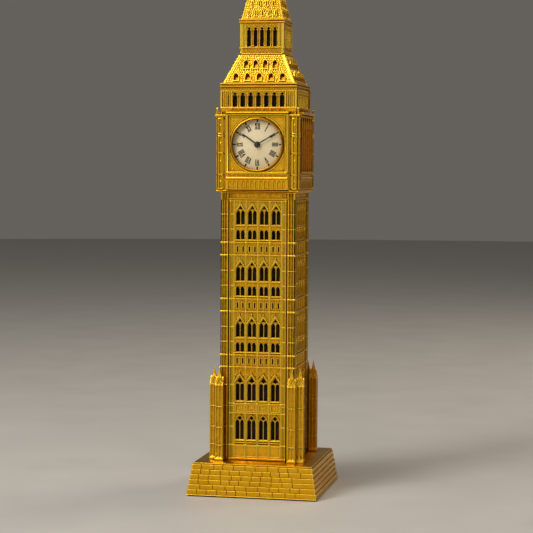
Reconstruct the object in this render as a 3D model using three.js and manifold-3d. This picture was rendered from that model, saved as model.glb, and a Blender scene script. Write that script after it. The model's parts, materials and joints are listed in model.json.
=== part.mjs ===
// Miniature clock tower: a gilt die-cast souvenir in Gothic style, with a small quartz clock
// insert that pushes into the front of its clock stage.
//
// Millimetres, +Z up. The front faces -Y and +X is to the right of a viewer in front of it.
// The origin is the centre of the underside.

import * as THREE from 'three';
import { mergeVertices } from 'three/addons/utils/BufferGeometryUtils.js';
import Module from 'manifold-3d';

const wasm = await Module();
wasm.setup();

// ---------------------------------------------------------------- driving dimensions

const FIT = 0.1; // clearance between castings that are stacked or stand side by side
const SIDES = ['front', 'right', 'rear', 'left'];
const CORNERS = ['front_right', 'rear_right', 'rear_left', 'front_left'];

const PAD = { half: 31.6, top: 1.6 };
const PLATE = { half: 31.4, bottom: 1.7, top: 3.7 };
const PLINTH = { bottom: 0.6, top: 17.8, bottomHalf: 35, topHalf: 32, courses: 6, ledge: 0.35, skin: 3 };
const BOLT = { radius: 1.5, headRadius: 3.6, headHeight: 1.9, top: 296, hole: 1.9 };

const SHAFT = { half: 20.2, bottom: PLINTH.top + FIT, top: 158 };
const PIER = { width: 4, rib: 0.9, channel: 0.5 };
const WALL = { half: 15.5, front: 19.5, thickness: 2.1, bandProud: 0.7, bandHeight: 1 };
const BAYS = { count: 4, pitch: 6.45, lightHalf: 2.4 };
const LOWER_WINDOWS = [[29, 42.2], [50.1, 60.6]]; // sill and apex of each row
const STOREY_WINDOWS = [[1.6, 7.2], [9.5, 18.6]]; // the same, above the foot of an upper storey
const LOWER_BANDS = [26.2, 43.4, 48.6, 68.2];
const STOREY_BAND = 23.4; // second band of an upper storey, above its foot
const STOREY = { first: 74.7, pitch: 30.15, count: 3 };
const BUTTRESS = { half: 2.1, near: 19.7, far: 23.5, footHalf: 2.4, neck: 58.3, tip: 68.6 };
const CORBEL = { half: 22.4, hollow: 4 };

const STAGE = { bottom: 163.3, top: 203.2, panelHalf: 17, front: 23.2, back: 18.2, sidePlane: 22 };
const STAGE_FRAME = { half: 16, bottom: 172.3, top: 203, innerHalf: 14.75, innerRise: 14.55, proud: 0.6 };
const STAGE_MOULDINGS = [
  { bottom: 163.4, top: 164, proud: 0.4 },
  { bottom: 168.6, top: 170.2, proud: 0.7 },
  { bottom: 171.9, top: 172.8, proud: 1.2 },
];
const STAGE_RIBS = { count: 6, pitch: 6.1, half: 0.5, proud: 0.6 };
const STAGE_CORNICE_REACH = 24;
const TURRET = { centre: 20, half: 2.6, capHalf: 3, capTop: 203.2, postTop: 206.9, postWidth: 1 };
const CLOCK = { z: 187.3, radius: 13.4, bore: 13.9 };

const BELFRY = { half: 20.4, bottom: 204.7, sill: 207.3, arch: 214.9, top: 217.5, wall: 2.4, lightHalf: 1.2 };
const LOWER_ROOF = { bottom: 220.1, top: 235.2, bottomHalf: 18.9, topHalf: 12, skin: 3.2 };
const LANTERN = { half: 11.9, bottom: 235.3, sill: 239.7, arch: 250, top: 252, wall: 1.7, lightHalf: 0.95 };
const UPPER_ROOF = { bottom: 254.5, top: 289.5, bottomHalf: 11.1, topHalf: 3.05, skin: 1.6 };
const FINIAL = { bottom: UPPER_ROOF.top + FIT, top: 318 };
const LINER = { shaftHalf: 16, belfryHalf: 17.8, lanternHalf: 10, wall: 0.8 };

const GEAR = { module: 0.25, centres: 5 };
const TEETH = { cannon: 10, minuteWheel: 30, minutePinion: 8, hourWheel: 32, setting: 10 };
const TRAIN_ANGLE = THREE.MathUtils.degToRad(225); // from the dial centre to the minute wheel
const SETTING_ANGLE = Math.PI; // from the minute wheel to the setting stem
const MINUTE_HAND = { length: 11.8, tipHalf: 0.2, hubRadius: 1.5, hole: 0.55 };
const HOUR_HAND = { length: 10.1, tipHalf: 0.3, hubRadius: 1.9, hole: 1.3 };
const HANDS = { hourAngle: 305, minuteAngle: 60 }; // ten past ten, degrees clockwise from twelve

// Layers of the clock insert along Y, from the front of the bezel to the back of the knob.
const LAYER = {
  bezel: [-25.4, -21.8],
  lens: [-25.1, -24.55],
  handCap: [-24.4, -23.9],
  minuteHand: [-23.75, -23.5],
  hourHand: [-23.25, -22.95],
  dial: [-22.4, -22],
  caseTube: [-21.7, -12.6],
  hourWheel: [-21.5, -20.9],
  gripBand: [-20.9, -16],
  minuteGears: [-19.7, -19.1],
  caseWeb: [-18.6, -18],
  board: [-17.8, -17.4],
  battery: [-17, -14.5],
  contact: [-14.3, -14.05],
  caseBack: [-13.6, -12.8],
  knob: [-12.3, -10.8],
};
const ARBOR = { radius: 0.5, pipeRadius: 1.25, pipeBore: 0.85, front: -23.8, pipeFront: -23.1 };
const CASE = { inner: 12.3, outer: 13.2, backRadius: 12.1, boardRadius: 11.8 };
const CELL = { x: 5, z: CLOCK.z - 4.5, radius: 3.4 };
const COIL = { y: -15.6, z: CLOCK.z + 6.5, halfLength: 5, wireRadius: 1, flangeRadius: 1.3 };

// ---------------------------------------------------------------- materials

function finish(color, roughness, metalness) {
  return new THREE.MeshStandardMaterial({ color, roughness, metalness });
}

const gilt = finish(0xd9a520, 0.32, 1);
const patina = finish(0x241405, 0.7, 0.4);
const steel = finish(0x9a9a98, 0.4, 1);
const rubber = finish(0x151515, 0.9, 0);
const dialEnamel = finish(0xe6d9b4, 0.5, 0);
const handLacquer = finish(0x120f0c, 0.35, 0.3);
const blackPlastic = finish(0x1c1c1d, 0.6, 0);
const whitePlastic = finish(0xe4e2da, 0.5, 0);
const brass = finish(0xc29b45, 0.35, 1);
const boardGreen = finish(0x1e5a35, 0.5, 0);
const copper = finish(0xb06a3a, 0.4, 1);
const cellSteel = finish(0xc9c9c6, 0.22, 1);
const lensGlass = new THREE.MeshStandardMaterial({
  color: 0xf4f6f5,
  roughness: 0.05,
  metalness: 0,
  transparent: true,
  opacity: 0.2,
});

// ---------------------------------------------------------------- solids: joining and cutting

// A closed mesh with its shared corners merged and its collapsed triangles left out.
function closedMesh(geometry) {
  const bare = geometry.index ? geometry.toNonIndexed() : geometry.clone();
  bare.deleteAttribute('normal');
  bare.deleteAttribute('uv');
  const merged = mergeVertices(bare, 1e-4);
  const kept = [];
  const index = merged.index.array;
  for (let i = 0; i < index.length; i += 3) {
    const [a, b, c] = [index[i], index[i + 1], index[i + 2]];
    if (a !== b && b !== c && c !== a) kept.push(a, b, c);
  }
  merged.setIndex(kept);
  return merged;
}

function toManifold(geometry) {
  const mesh = closedMesh(geometry);
  return new wasm.Manifold(new wasm.Mesh({
    numProp: 3,
    vertProperties: new Float32Array(mesh.attributes.position.array),
    triVerts: new Uint32Array(mesh.index.array),
  }));
}

function toGeometry(manifold) {
  const mesh = manifold.getMesh();
  const geometry = new THREE.BufferGeometry();
  geometry.setAttribute('position', new THREE.BufferAttribute(mesh.vertProperties, 3));
  geometry.setIndex(new THREE.BufferAttribute(mesh.triVerts, 1));
  geometry.computeVertexNormals();
  return geometry;
}

function join(...geometries) {
  return toGeometry(geometries.map(toManifold).reduce((whole, part) => whole.add(part)));
}

function cut(base, ...tools) {
  return toGeometry(tools.map(toManifold).reduce((left, tool) => left.subtract(tool), toManifold(base)));
}

// ---------------------------------------------------------------- solids: basic shapes

function box([x0, y0, z0], [x1, y1, z1]) {
  const geometry = new THREE.BoxGeometry(x1 - x0, y1 - y0, z1 - z0);
  return geometry.translate((x0 + x1) / 2, (y0 + y1) / 2, (z0 + z1) / 2);
}

// A profile of [distance from the axis, height] points turned about +Z into a solid with flat
// sides. The distance is measured to the flats. The profile runs anticlockwise: outwards along
// the bottom, up the outside and back along the top.
function turnedUp(profile, sides = 4) {
  const points = profile.map(([half, z]) => new THREE.Vector2(half / Math.cos(Math.PI / sides), z));
  const lathe = new THREE.LatheGeometry(points, sides, Math.PI / sides);
  return lathe.rotateX(Math.PI / 2);
}

// The same profile, closed on itself around a small square hole for the tie bolt.
function platePierced(profile) {
  const bottom = profile[0][1];
  const top = profile[profile.length - 1][1];
  return turnedUp([[BOLT.hole, bottom], ...profile, [BOLT.hole, top], [BOLT.hole, bottom]]);
}

// A profile of [radius, y] points turned about the clock's axis, which runs along Y.
function turnedBack(profile, segments = 48) {
  const points = profile.map(([radius, y]) => new THREE.Vector2(radius, y));
  return new THREE.LatheGeometry(points, segments).translate(0, 0, CLOCK.z);
}

// A ring on the clock's axis between two radii and two depths.
function ring(inner, outer, y0, y1, segments = 48) {
  return turnedBack([[inner, y0], [outer, y0], [outer, y1], [inner, y1], [inner, y0]], segments);
}

// A disc or rod parallel to the clock's axis, centred on (x, z).
function rod(radius, y0, y1, x = 0, z = CLOCK.z, segments = 20) {
  const geometry = new THREE.CylinderGeometry(radius, radius, y1 - y0, segments);
  return geometry.translate(x, (y0 + y1) / 2, z);
}

function extrudedUp(shape, z0, z1) {
  const geometry = new THREE.ExtrudeGeometry(shape, { depth: z1 - z0, bevelEnabled: false });
  return geometry.translate(0, 0, z0);
}

// A shape drawn in X and Z, extruded between two depths along Y.
function extrudedBack(shape, y0, y1) {
  const geometry = new THREE.ExtrudeGeometry(shape, { depth: y1 - y0, bevelEnabled: false });
  return geometry.rotateX(Math.PI / 2).translate(0, y1, 0);
}

function outline(points) {
  return new THREE.Shape(points.map(([x, y]) => new THREE.Vector2(x, y)));
}

function rectangle(x0, y0, x1, y1) {
  return outline([[x0, y0], [x1, y0], [x1, y1], [x0, y1]]);
}

// A pointed opening: straight jambs under a steep straight-sided head.
function pointedArch(centre, sill, apex, half) {
  const spring = apex - 1.4 * half;
  return outline([
    [centre - half, sill],
    [centre + half, sill],
    [centre + half, spring],
    [centre, apex],
    [centre - half, spring],
  ]);
}

// Positions of evenly pitched features, centred on zero.
function spaced(count, pitch) {
  return Array.from({ length: count }, (_, i) => (i - (count - 1) / 2) * pitch);
}

// A row of pointed arch solids that cut openings through a wall between two depths.
function lights(centres, sill, apex, half, y0, y1) {
  return centres.map((x) => extrudedBack(pointedArch(x, sill, apex, half), y0, y1));
}

// ---------------------------------------------------------------- the assembly

const tower = new THREE.Group();

function add(name, geometry, material, quarterTurns = 0) {
  const mesh = new THREE.Mesh(geometry, material);
  mesh.name = name;
  mesh.rotation.z = quarterTurns * Math.PI / 2;
  tower.add(mesh);
}

// One copy of a piece for each side or corner of the tower.
function addFour(stem, names, geometry, material) {
  names.forEach((name, turns) => add(`${stem}_${name}`, geometry, material, turns));
}

// ---------------------------------------------------------------- base

function basePad() {
  return box([-PAD.half, -PAD.half, 0], [PAD.half, PAD.half, PAD.top]);
}

// Steel plate with a countersunk hole for the bolt.
function bottomPlate() {
  const head = BOLT.headRadius + FIT;
  const countersink = turnedUp([
    [0, PLATE.bottom - 1],
    [head, PLATE.bottom - 1],
    [head, PLATE.bottom],
    [BOLT.hole, PLATE.top],
    [BOLT.hole, PLATE.top + 1],
    [0, PLATE.top + 1],
  ], 16);
  return cut(box([-PLATE.half, -PLATE.half, PLATE.bottom], [PLATE.half, PLATE.half, PLATE.top]), countersink);
}

// Sloping masonry courses, each with a narrow ledge, over a rim and four cells with a cross
// rib between them.
function plinth() {
  const { bottom, top, bottomHalf, topHalf, courses, ledge, skin } = PLINTH;
  const courseHeight = (top - bottom) / courses;
  const narrowing = (bottomHalf - topHalf) / courses;
  const profile = [[0, bottom]];
  for (let i = 0; i < courses; i += 1) {
    const half = bottomHalf - i * narrowing;
    profile.push([half, bottom + i * courseHeight]);
    profile.push([half - narrowing + ledge, bottom + (i + 1) * courseHeight]);
  }
  profile[profile.length - 1][0] = topHalf;
  profile.push([0, top]);
  const rim = PAD.half + 0.3;
  const cellFar = topHalf - skin;
  const cellTop = top - skin;
  const cells = [[1, 1], [-1, 1], [-1, -1], [1, -1]].map(([sx, sy]) => {
    const [x0, x1] = [3 * sx, cellFar * sx].sort((a, b) => a - b);
    const [y0, y1] = [3 * sy, cellFar * sy].sort((a, b) => a - b);
    return box([x0, y0, PLATE.top], [x1, y1, cellTop]);
  });
  return cut(
    turnedUp(profile),
    box([-rim, -rim, bottom - 1], [rim, rim, PLATE.top + FIT]),
    turnedUp([[0, 0], [BOLT.hole, 0], [BOLT.hole, top + 1], [0, top + 1]], 16),
    ...cells,
  );
}

// Countersunk bolt that clamps the whole stack from the plate up into the finial.
function tieBolt() {
  const headTop = PLATE.bottom + BOLT.headHeight;
  return turnedUp([
    [0, PLATE.bottom],
    [BOLT.headRadius, PLATE.bottom],
    [BOLT.radius, headTop],
    [BOLT.radius, BOLT.top],
    [0, BOLT.top],
  ], 12);
}

// ---------------------------------------------------------------- shaft

function storeyFeet() {
  return Array.from({ length: STOREY.count }, (_, i) => STOREY.first + i * STOREY.pitch);
}

// Sill and apex of every window row: two in the lower storey, then a row of small windows and
// a row of tall ones in each upper storey.
function windowRows() {
  const upper = storeyFeet().flatMap((foot) => STOREY_WINDOWS.map((row) => row.map((z) => foot + z)));
  return [...LOWER_WINDOWS, ...upper];
}

function bandHeights() {
  const feet = storeyFeet();
  return [...LOWER_BANDS, ...feet, ...feet.slice(0, -1).map((foot) => foot + STOREY_BAND)];
}

function shaftWall() {
  const { half, front, thickness, bandProud, bandHeight } = WALL;
  const plate = box([-half, -front, SHAFT.bottom], [half, -front + thickness, SHAFT.top - FIT]);
  const bands = bandHeights().map((z) => box(
    [-half, -front - bandProud, z - bandHeight / 2],
    [half, -front + 0.5, z + bandHeight / 2],
  ));
  const openings = windowRows().flatMap(([sill, apex]) => (
    lights(spaced(BAYS.count, BAYS.pitch), sill, apex, BAYS.lightHalf, -front - 1, -front + thickness + 1)
  ));
  return cut(join(plate, ...bands), ...openings);
}

// Square pier at the front right corner, with a channel down each outer face.
function cornerPier() {
  const { width, rib, channel } = PIER;
  const out = SHAFT.half;
  const inn = out - width;
  const shape = outline([
    [inn, -inn],
    [inn, -out],
    [inn + rib, -out],
    [inn + rib, -out + channel],
    [out - rib, -out + channel],
    [out - rib, -out],
    [out, -out],
    [out, -out + rib],
    [out - channel, -out + rib],
    [out - channel, -inn - rib],
    [out, -inn - rib],
    [out, -inn],
  ]);
  return extrudedUp(shape, SHAFT.bottom, SHAFT.top - FIT);
}

// One square shaft with a flared foot, a neck band and a pinnacle.
function pinnacledShaft(x, y) {
  const { half, footHalf, neck, tip } = BUTTRESS;
  return turnedUp([
    [0, SHAFT.bottom],
    [footHalf, SHAFT.bottom],
    [footHalf, SHAFT.bottom + 1.4],
    [half, SHAFT.bottom + 2.2],
    [half, neck - 0.3],
    [half + 0.25, neck],
    [half + 0.25, neck + 0.7],
    [half, neck + 1],
    [half - 0.2, neck + 3.7],
    [0.9, neck + 6.3],
    [0.25, tip],
    [0, tip],
  ]).translate(x, y, 0);
}

function cornerButtress() {
  const { near, far } = BUTTRESS;
  return join(pinnacledShaft(near, -far), pinnacledShaft(far, -near));
}

function squareSleeve(half, wall, z0, z1) {
  const shape = rectangle(-half, -half, half, half);
  const inner = half - wall;
  shape.holes.push(rectangle(-inner, -inner, inner, inner));
  return extrudedUp(shape, z0, z1);
}

// Plate under the clock stage: a cove that spreads from the shaft to a moulding.
function shaftCorbel() {
  return platePierced([
    [SHAFT.half - 0.2, SHAFT.top],
    [SHAFT.half, SHAFT.top + 1.2],
    [SHAFT.half + 0.5, SHAFT.top + 2.6],
    [CORBEL.half - 0.6, SHAFT.top + CORBEL.hollow - 0.1],
    [CORBEL.half, SHAFT.top + CORBEL.hollow],
    [CORBEL.half, STAGE.bottom - FIT],
  ]);
}

// ---------------------------------------------------------------- clock stage

// The mouldings that run across the foot of every stage panel, proud of the given plane.
function stageMouldings(plane) {
  const { half } = STAGE_FRAME;
  return STAGE_MOULDINGS.map(({ bottom, top, proud }) => (
    box([-half, -plane - proud, bottom], [half, -plane + 1, top])
  ));
}

// Front panel: a raised square frame round the clock, and the bore that the clock pushes into.
function clockPanelFront() {
  const { panelHalf, front, back, bottom, top } = STAGE;
  const { half, innerHalf, innerRise, proud } = STAGE_FRAME;
  const plate = box([-panelHalf, -front, bottom + FIT], [panelHalf, -back, top]);
  const frame = rectangle(-half, STAGE_FRAME.bottom, half, STAGE_FRAME.top);
  frame.holes.push(rectangle(-innerHalf, CLOCK.z - innerRise, innerHalf, CLOCK.z + innerRise));
  const boreHole = rod(CLOCK.bore, -front - 3, -back + 3, 0, CLOCK.z, 48);
  return cut(
    join(plate, extrudedBack(frame, -front - proud, -front + 1), ...stageMouldings(front)),
    boreHole,
  );
}

// Panel of the other three sides: five tall blind lights between ribs.
function stagePanel() {
  const { panelHalf, sidePlane, bottom, top } = STAGE;
  const plate = box([-panelHalf, -sidePlane, bottom + FIT], [panelHalf, -sidePlane + 2.4, top]);
  const ribs = spaced(STAGE_RIBS.count, STAGE_RIBS.pitch).map((x) => box(
    [x - STAGE_RIBS.half, -sidePlane - STAGE_RIBS.proud, STAGE_FRAME.bottom + 0.1],
    [x + STAGE_RIBS.half, -sidePlane + 1, top - 1],
  ));
  return join(plate, ...stageMouldings(sidePlane), ...ribs);
}

// Octagonal turret at the front right corner, with cross bands, a square cap and a post.
function cornerTurret() {
  const { centre, half, capHalf, capTop, postTop, postWidth } = TURRET;
  const bandAt = (z, proud) => [
    [half, z - 0.8],
    [half + proud, z - 0.6],
    [half + proud, z + 0.6],
    [half, z + 0.8],
  ];
  const shaft = turnedUp([
    [0, STAGE.bottom],
    [half, STAGE.bottom],
    ...bandAt(171.2, 0.3),
    ...bandAt(182.8, 0.2),
    ...bandAt(192.5, 0.2),
    [half, capTop - 1],
    [0, capTop - 1],
  ], 8).translate(centre, -centre, 0);
  const cap = box(
    [centre - capHalf, -centre - capHalf, capTop - 1.3],
    [centre + capHalf, -centre + capHalf, capTop],
  );
  const edge = centre + capHalf - 0.6;
  const post = box([edge - postWidth, -edge, capTop - 0.5], [edge, -edge + postWidth, postTop]);
  return join(shaft, cap, post);
}

// Cross-shaped plate over the four panels, between the turret caps.
function stageCornice() {
  const arm = STAGE_CORNICE_REACH;
  const notch = STAGE.panelHalf;
  const shape = outline([
    [-notch, -arm], [notch, -arm], [notch, -notch], [arm, -notch],
    [arm, notch], [notch, notch], [notch, arm], [-notch, arm],
    [-notch, notch], [-arm, notch], [-arm, -notch], [-notch, -notch],
  ]);
  shape.holes.push(rectangle(-BOLT.hole, -BOLT.hole, BOLT.hole, BOLT.hole));
  return extrudedUp(shape, STAGE.top + FIT, BELFRY.bottom - FIT);
}

// ---------------------------------------------------------------- belfry and lantern

const BELFRY_LIGHTS = spaced(7, 4.27);
const LANTERN_LIGHTS = spaced(5, 3.55);

// Arcade wall of one belfry side. The front and rear walls reach the corners, and the two
// others stand between them.
function belfryArcade(halfLength) {
  const { half, bottom, sill, arch, top, wall, lightHalf } = BELFRY;
  const panel = box([-halfLength, -half, bottom], [halfLength, -half + wall, top]);
  return cut(panel, ...lights(BELFRY_LIGHTS, sill, arch, lightHalf, -half - 1, -half + wall + 1));
}

function belfryCornice() {
  return platePierced([
    [BELFRY.half - 0.4, BELFRY.top + FIT],
    [20.8, BELFRY.top + 0.4],
    [20.8, BELFRY.top + 1],
    [20.3, BELFRY.top + 1.2],
    [20.3, BELFRY.top + 1.6],
    [20.9, BELFRY.top + 1.8],
    [20.9, LOWER_ROOF.bottom - FIT],
  ]);
}

// One dormer: a small gabled box that leans out of the front slope of the lower roof.
function dormer(x, z) {
  const { bottom, top, bottomHalf, topHalf } = LOWER_ROOF;
  const slope = (bottomHalf - topHalf) / (top - bottom);
  const face = bottomHalf - slope * (z - bottom) + 0.5;
  const shape = outline([[x - 1.2, z], [x + 1.2, z], [x + 1.2, z + 2.7], [x, z + 4], [x - 1.2, z + 2.7]]);
  return extrudedBack(shape, -face, -face + 3);
}

function dormerRows() {
  const lower = spaced(5, 6.3).map((x) => dormer(x, 221));
  const upper = spaced(4, 5.2).map((x) => dormer(x, 227.6));
  return [...lower, ...upper];
}

function lowerRoof() {
  const { bottom, top, bottomHalf, topHalf, skin } = LOWER_ROOF;
  const shell = turnedUp([
    [bottomHalf - skin, bottom],
    [bottomHalf, bottom],
    [topHalf, top],
    [topHalf - skin, top],
    [bottomHalf - skin, bottom],
  ]);
  const dormers = SIDES.flatMap((_, turns) => dormerRows().map((d) => d.rotateZ(turns * Math.PI / 2)));
  return join(shell, ...dormers);
}

// Square lantern wall with five pointed lights on each side, cut straight through.
function lanternArcade() {
  const { half, bottom, sill, arch, top, wall, lightHalf } = LANTERN;
  const through = lights(LANTERN_LIGHTS, sill, arch, lightHalf, -half - 1, half + 1);
  const across = through.map((light) => light.clone().rotateZ(Math.PI / 2));
  const frieze = turnedUp([
    [half - 1, bottom],
    [12.2, bottom],
    [12.2, bottom + 0.8],
    [half, bottom + 1],
    [half, bottom + 3.2],
    [12.3, bottom + 3.5],
    [12.3, sill - 0.2],
    [half - 1, sill - 0.2],
    [half - 1, bottom],
  ]);
  return cut(join(squareSleeve(half, wall, bottom, top), frieze), ...through, ...across);
}

function lanternCornice() {
  return platePierced([
    [11.9, LANTERN.top + FIT],
    [12.4, LANTERN.top + 0.3],
    [12.4, LANTERN.top + 0.9],
    [11.9, LANTERN.top + 1.1],
    [11.9, LANTERN.top + 1.5],
    [12.4, LANTERN.top + 1.7],
    [12.4, UPPER_ROOF.bottom - FIT],
  ]);
}

function upperRoof() {
  const { bottom, top, bottomHalf, topHalf, skin } = UPPER_ROOF;
  return turnedUp([
    [bottomHalf - skin, bottom],
    [bottomHalf, bottom],
    [topHalf, top],
    [BOLT.hole, top],
    [BOLT.hole, top - 2],
    [bottomHalf - skin, bottom],
  ]);
}

// Turned finial: square foot, knop, ball and spike, bored from below for the bolt.
function finial() {
  const { bottom, top } = FINIAL;
  const body = turnedUp([
    [0, bottom],
    [3.4, bottom],
    [3.4, bottom + 0.8],
    [2.7, bottom + 1.6],
    [2.4, bottom + 5],
    [3, bottom + 5.6],
    [3, bottom + 6.4],
    [1.3, bottom + 8.4],
    [1.3, bottom + 9.6],
    [2.5, bottom + 11],
    [2.9, bottom + 12.7],
    [2.5, bottom + 14.4],
    [1.1, bottom + 15.8],
    [0.9, bottom + 18],
    [0.25, top],
    [0, top],
  ], 12);
  const bore = turnedUp([[0, bottom - 1], [1.8, bottom - 1], [1.8, BOLT.top + 0.4], [0, BOLT.top + 0.4]], 12);
  return cut(body, bore);
}

// ---------------------------------------------------------------- clock insert

function clockBezel() {
  const [front, back] = LAYER.bezel;
  const skirt = CLOCK.bore - 0.15;
  return turnedBack([
    [CLOCK.radius, front + 0.2],
    [14, front],
    [14.4, front + 0.5],
    [14.4, front + 2.1],
    [skirt, front + 2.1],
    [skirt, back],
    [CLOCK.radius, back],
    [CLOCK.radius, front + 0.2],
  ]);
}

const MINUTE_WHEEL = {
  x: GEAR.centres * Math.cos(TRAIN_ANGLE),
  z: CLOCK.z + GEAR.centres * Math.sin(TRAIN_ANGLE),
};
const SETTING_STEM = {
  x: MINUTE_WHEEL.x + GEAR.centres * Math.cos(SETTING_ANGLE),
  z: MINUTE_WHEEL.z + GEAR.centres * Math.sin(SETTING_ANGLE),
};

// Moulded case: a tube with a middle web, pierced for the arbor and the setting stem.
function movementCase() {
  const [front, back] = LAYER.caseTube;
  const [webFront, webBack] = LAYER.caseWeb;
  const { inner, outer } = CASE;
  const cup = turnedBack([
    [0, webFront], [inner, webFront], [inner, front], [outer, front], [outer, back],
    [inner, back], [inner, webBack], [0, webBack],
  ]);
  return cut(
    cup,
    rod(1, webFront - 1, webBack + 1, SETTING_STEM.x, SETTING_STEM.z, 16),
    rod(0.6, webFront - 1, webBack + 1, MINUTE_WHEEL.x, MINUTE_WHEEL.z, 12),
  );
}

// Disc on the clock's axis with a clearance hole for the setting stem.
function discWithStemHole(radius, [front, back], hole) {
  return cut(
    rod(radius, front, back, 0, CLOCK.z, 40),
    rod(hole, front - 1, back + 1, SETTING_STEM.x, SETTING_STEM.z, 16),
  );
}

function caseBack() {
  return discWithStemHole(CASE.backRadius, LAYER.caseBack, 1.1);
}

function circuitBoard() {
  return discWithStemHole(CASE.boardRadius, LAYER.board, 1.3);
}

// Wire coil of the stepping motor, lying across the board between two end flanges.
function driveCoil() {
  const { halfLength, wireRadius, flangeRadius } = COIL;
  const inner = halfLength - 0.6;
  const points = [
    [0, -halfLength], [flangeRadius, -halfLength], [flangeRadius, -inner], [wireRadius, -inner],
    [wireRadius, inner], [flangeRadius, inner], [flangeRadius, halfLength], [0, halfLength],
  ].map(([radius, x]) => new THREE.Vector2(radius, x));
  return new THREE.LatheGeometry(points, 16).rotateZ(Math.PI / 2).translate(0, COIL.y, COIL.z);
}

// Outline of a gear with narrow teeth, which leave backlash at the working centre distance.
function gearOutline(teeth, x, z, phase) {
  const pitchRadius = GEAR.module * teeth / 2;
  const root = pitchRadius - GEAR.module;
  const tip = pitchRadius + 0.7 * GEAR.module;
  const pitch = 2 * Math.PI / teeth;
  const points = [];
  for (let i = 0; i < teeth; i += 1) {
    for (const [radius, part] of [[root, -0.24], [tip, -0.1], [tip, 0.1], [root, 0.24]]) {
      const angle = phase + (i + part) * pitch;
      points.push([x + radius * Math.cos(angle), z + radius * Math.sin(angle)]);
    }
  }
  return outline(points);
}

// Phase that puts a gap of the driven gear at the tooth of the driving gear nearest to the
// line of centres, which leaves the driving gear in the given direction.
function meshedPhase(drivingTeeth, drivingPhase, direction, drivenTeeth) {
  const pitch = 2 * Math.PI / drivingTeeth;
  const turns = (drivingPhase - direction) / pitch;
  const toothOffset = (turns - Math.round(turns)) * pitch;
  return direction + Math.PI - (drivingTeeth / drivenTeeth) * toothOffset + Math.PI / drivenTeeth;
}

const MINUTE_WHEEL_PHASE = meshedPhase(TEETH.cannon, 0, TRAIN_ANGLE, TEETH.minuteWheel);
const HOUR_WHEEL_PHASE = meshedPhase(TEETH.minutePinion, 0, TRAIN_ANGLE + Math.PI, TEETH.hourWheel);
const SETTING_PHASE = meshedPhase(TEETH.minuteWheel, MINUTE_WHEEL_PHASE, SETTING_ANGLE, TEETH.setting);

function cannonPinion() {
  return join(
    extrudedBack(gearOutline(TEETH.cannon, 0, CLOCK.z, 0), ...LAYER.minuteGears),
    rod(ARBOR.radius, ARBOR.front, LAYER.minuteGears[1] - 0.4, 0, CLOCK.z, 12),
  );
}

function hourWheel() {
  const wheel = join(
    extrudedBack(gearOutline(TEETH.hourWheel, 0, CLOCK.z, HOUR_WHEEL_PHASE), ...LAYER.hourWheel),
    rod(ARBOR.pipeRadius, ARBOR.pipeFront, LAYER.hourWheel[1] - 0.1, 0, CLOCK.z, 16),
  );
  return cut(wheel, rod(ARBOR.pipeBore, ARBOR.pipeFront - 1, LAYER.hourWheel[1] + 1, 0, CLOCK.z, 12));
}

function minuteWheel() {
  const { x, z } = MINUTE_WHEEL;
  const [front, back] = LAYER.minuteGears;
  return join(
    extrudedBack(gearOutline(TEETH.minuteWheel, x, z, MINUTE_WHEEL_PHASE), front, back),
    extrudedBack(gearOutline(TEETH.minutePinion, x, z, 0), LAYER.hourWheel[0], front + 0.2),
    rod(0.4, back - 0.2, LAYER.caseWeb[1] - 0.2, x, z, 12),
  );
}

// Setting stem with its pinion in front and a grooved knob behind the case back.
function settingKnob() {
  const { x, z } = SETTING_STEM;
  const [front, back] = LAYER.minuteGears;
  const knob = [];
  for (let i = 0; i < 24; i += 1) {
    const angle = i * Math.PI / 12;
    const radius = i % 2 ? 2.3 : 2.6;
    knob.push([x + radius * Math.cos(angle), z + radius * Math.sin(angle)]);
  }
  return join(
    extrudedBack(gearOutline(TEETH.setting, x, z, SETTING_PHASE), front, back),
    rod(0.6, back - 0.3, LAYER.knob[0] + 0.3, x, z, 12),
    extrudedBack(outline(knob), ...LAYER.knob),
  );
}

function battery() {
  const [front, back] = LAYER.battery;
  const step = CELL.radius - 0.5;
  return turnedBack([
    [0, front], [step, front], [step, front + 0.4],
    [CELL.radius, front + 0.6], [CELL.radius, back], [0, back],
  ], 32).translate(CELL.x, 0, CELL.z - CLOCK.z);
}

// Sprung steel strip that bears on the back of the battery.
function batteryContact() {
  const [front, back] = LAYER.contact;
  return box([CELL.x - 4, front, CELL.z - 1.2], [CELL.x + 4.4, back, CELL.z + 1.2]);
}

// A clock hand: a straight tapered blade and a tail-less hub, drilled for its arbor.
function hand({ length, tipHalf, hubRadius, hole }, [y0, y1], degrees) {
  const rootHalf = 0.5;
  const taper = outline([[-rootHalf, 0], [rootHalf, 0], [tipHalf, length], [-tipHalf, length]]);
  const blade = extrudedBack(taper, y0, y1);
  const hub = rod(hubRadius, y0, y1, 0, 0, 24);
  const drilled = cut(join(blade, hub), rod(hole, y0 - 1, y1 + 1, 0, 0, 12));
  return drilled.rotateY(THREE.MathUtils.degToRad(degrees)).translate(0, 0, CLOCK.z);
}

function handCap() {
  const [front, back] = LAYER.handCap;
  return turnedBack([
    [0, front], [0.5, front + 0.04], [0.95, front + 0.2], [1.2, back - 0.1], [1.2, back], [0, back],
  ], 24);
}

// ---------------------------------------------------------------- build

add('base_pad', basePad(), rubber);
add('bottom_plate', bottomPlate(), steel);
add('plinth', plinth(), gilt);
add('tie_bolt', tieBolt(), steel);

addFour('shaft_wall', SIDES, shaftWall(), gilt);
addFour('corner_pier', CORNERS, cornerPier(), gilt);
addFour('buttress', CORNERS, cornerButtress(), gilt);
add('window_liner', squareSleeve(LINER.shaftHalf, LINER.wall, SHAFT.bottom, SHAFT.top - FIT), patina);
add('shaft_corbel', shaftCorbel(), gilt);

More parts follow.
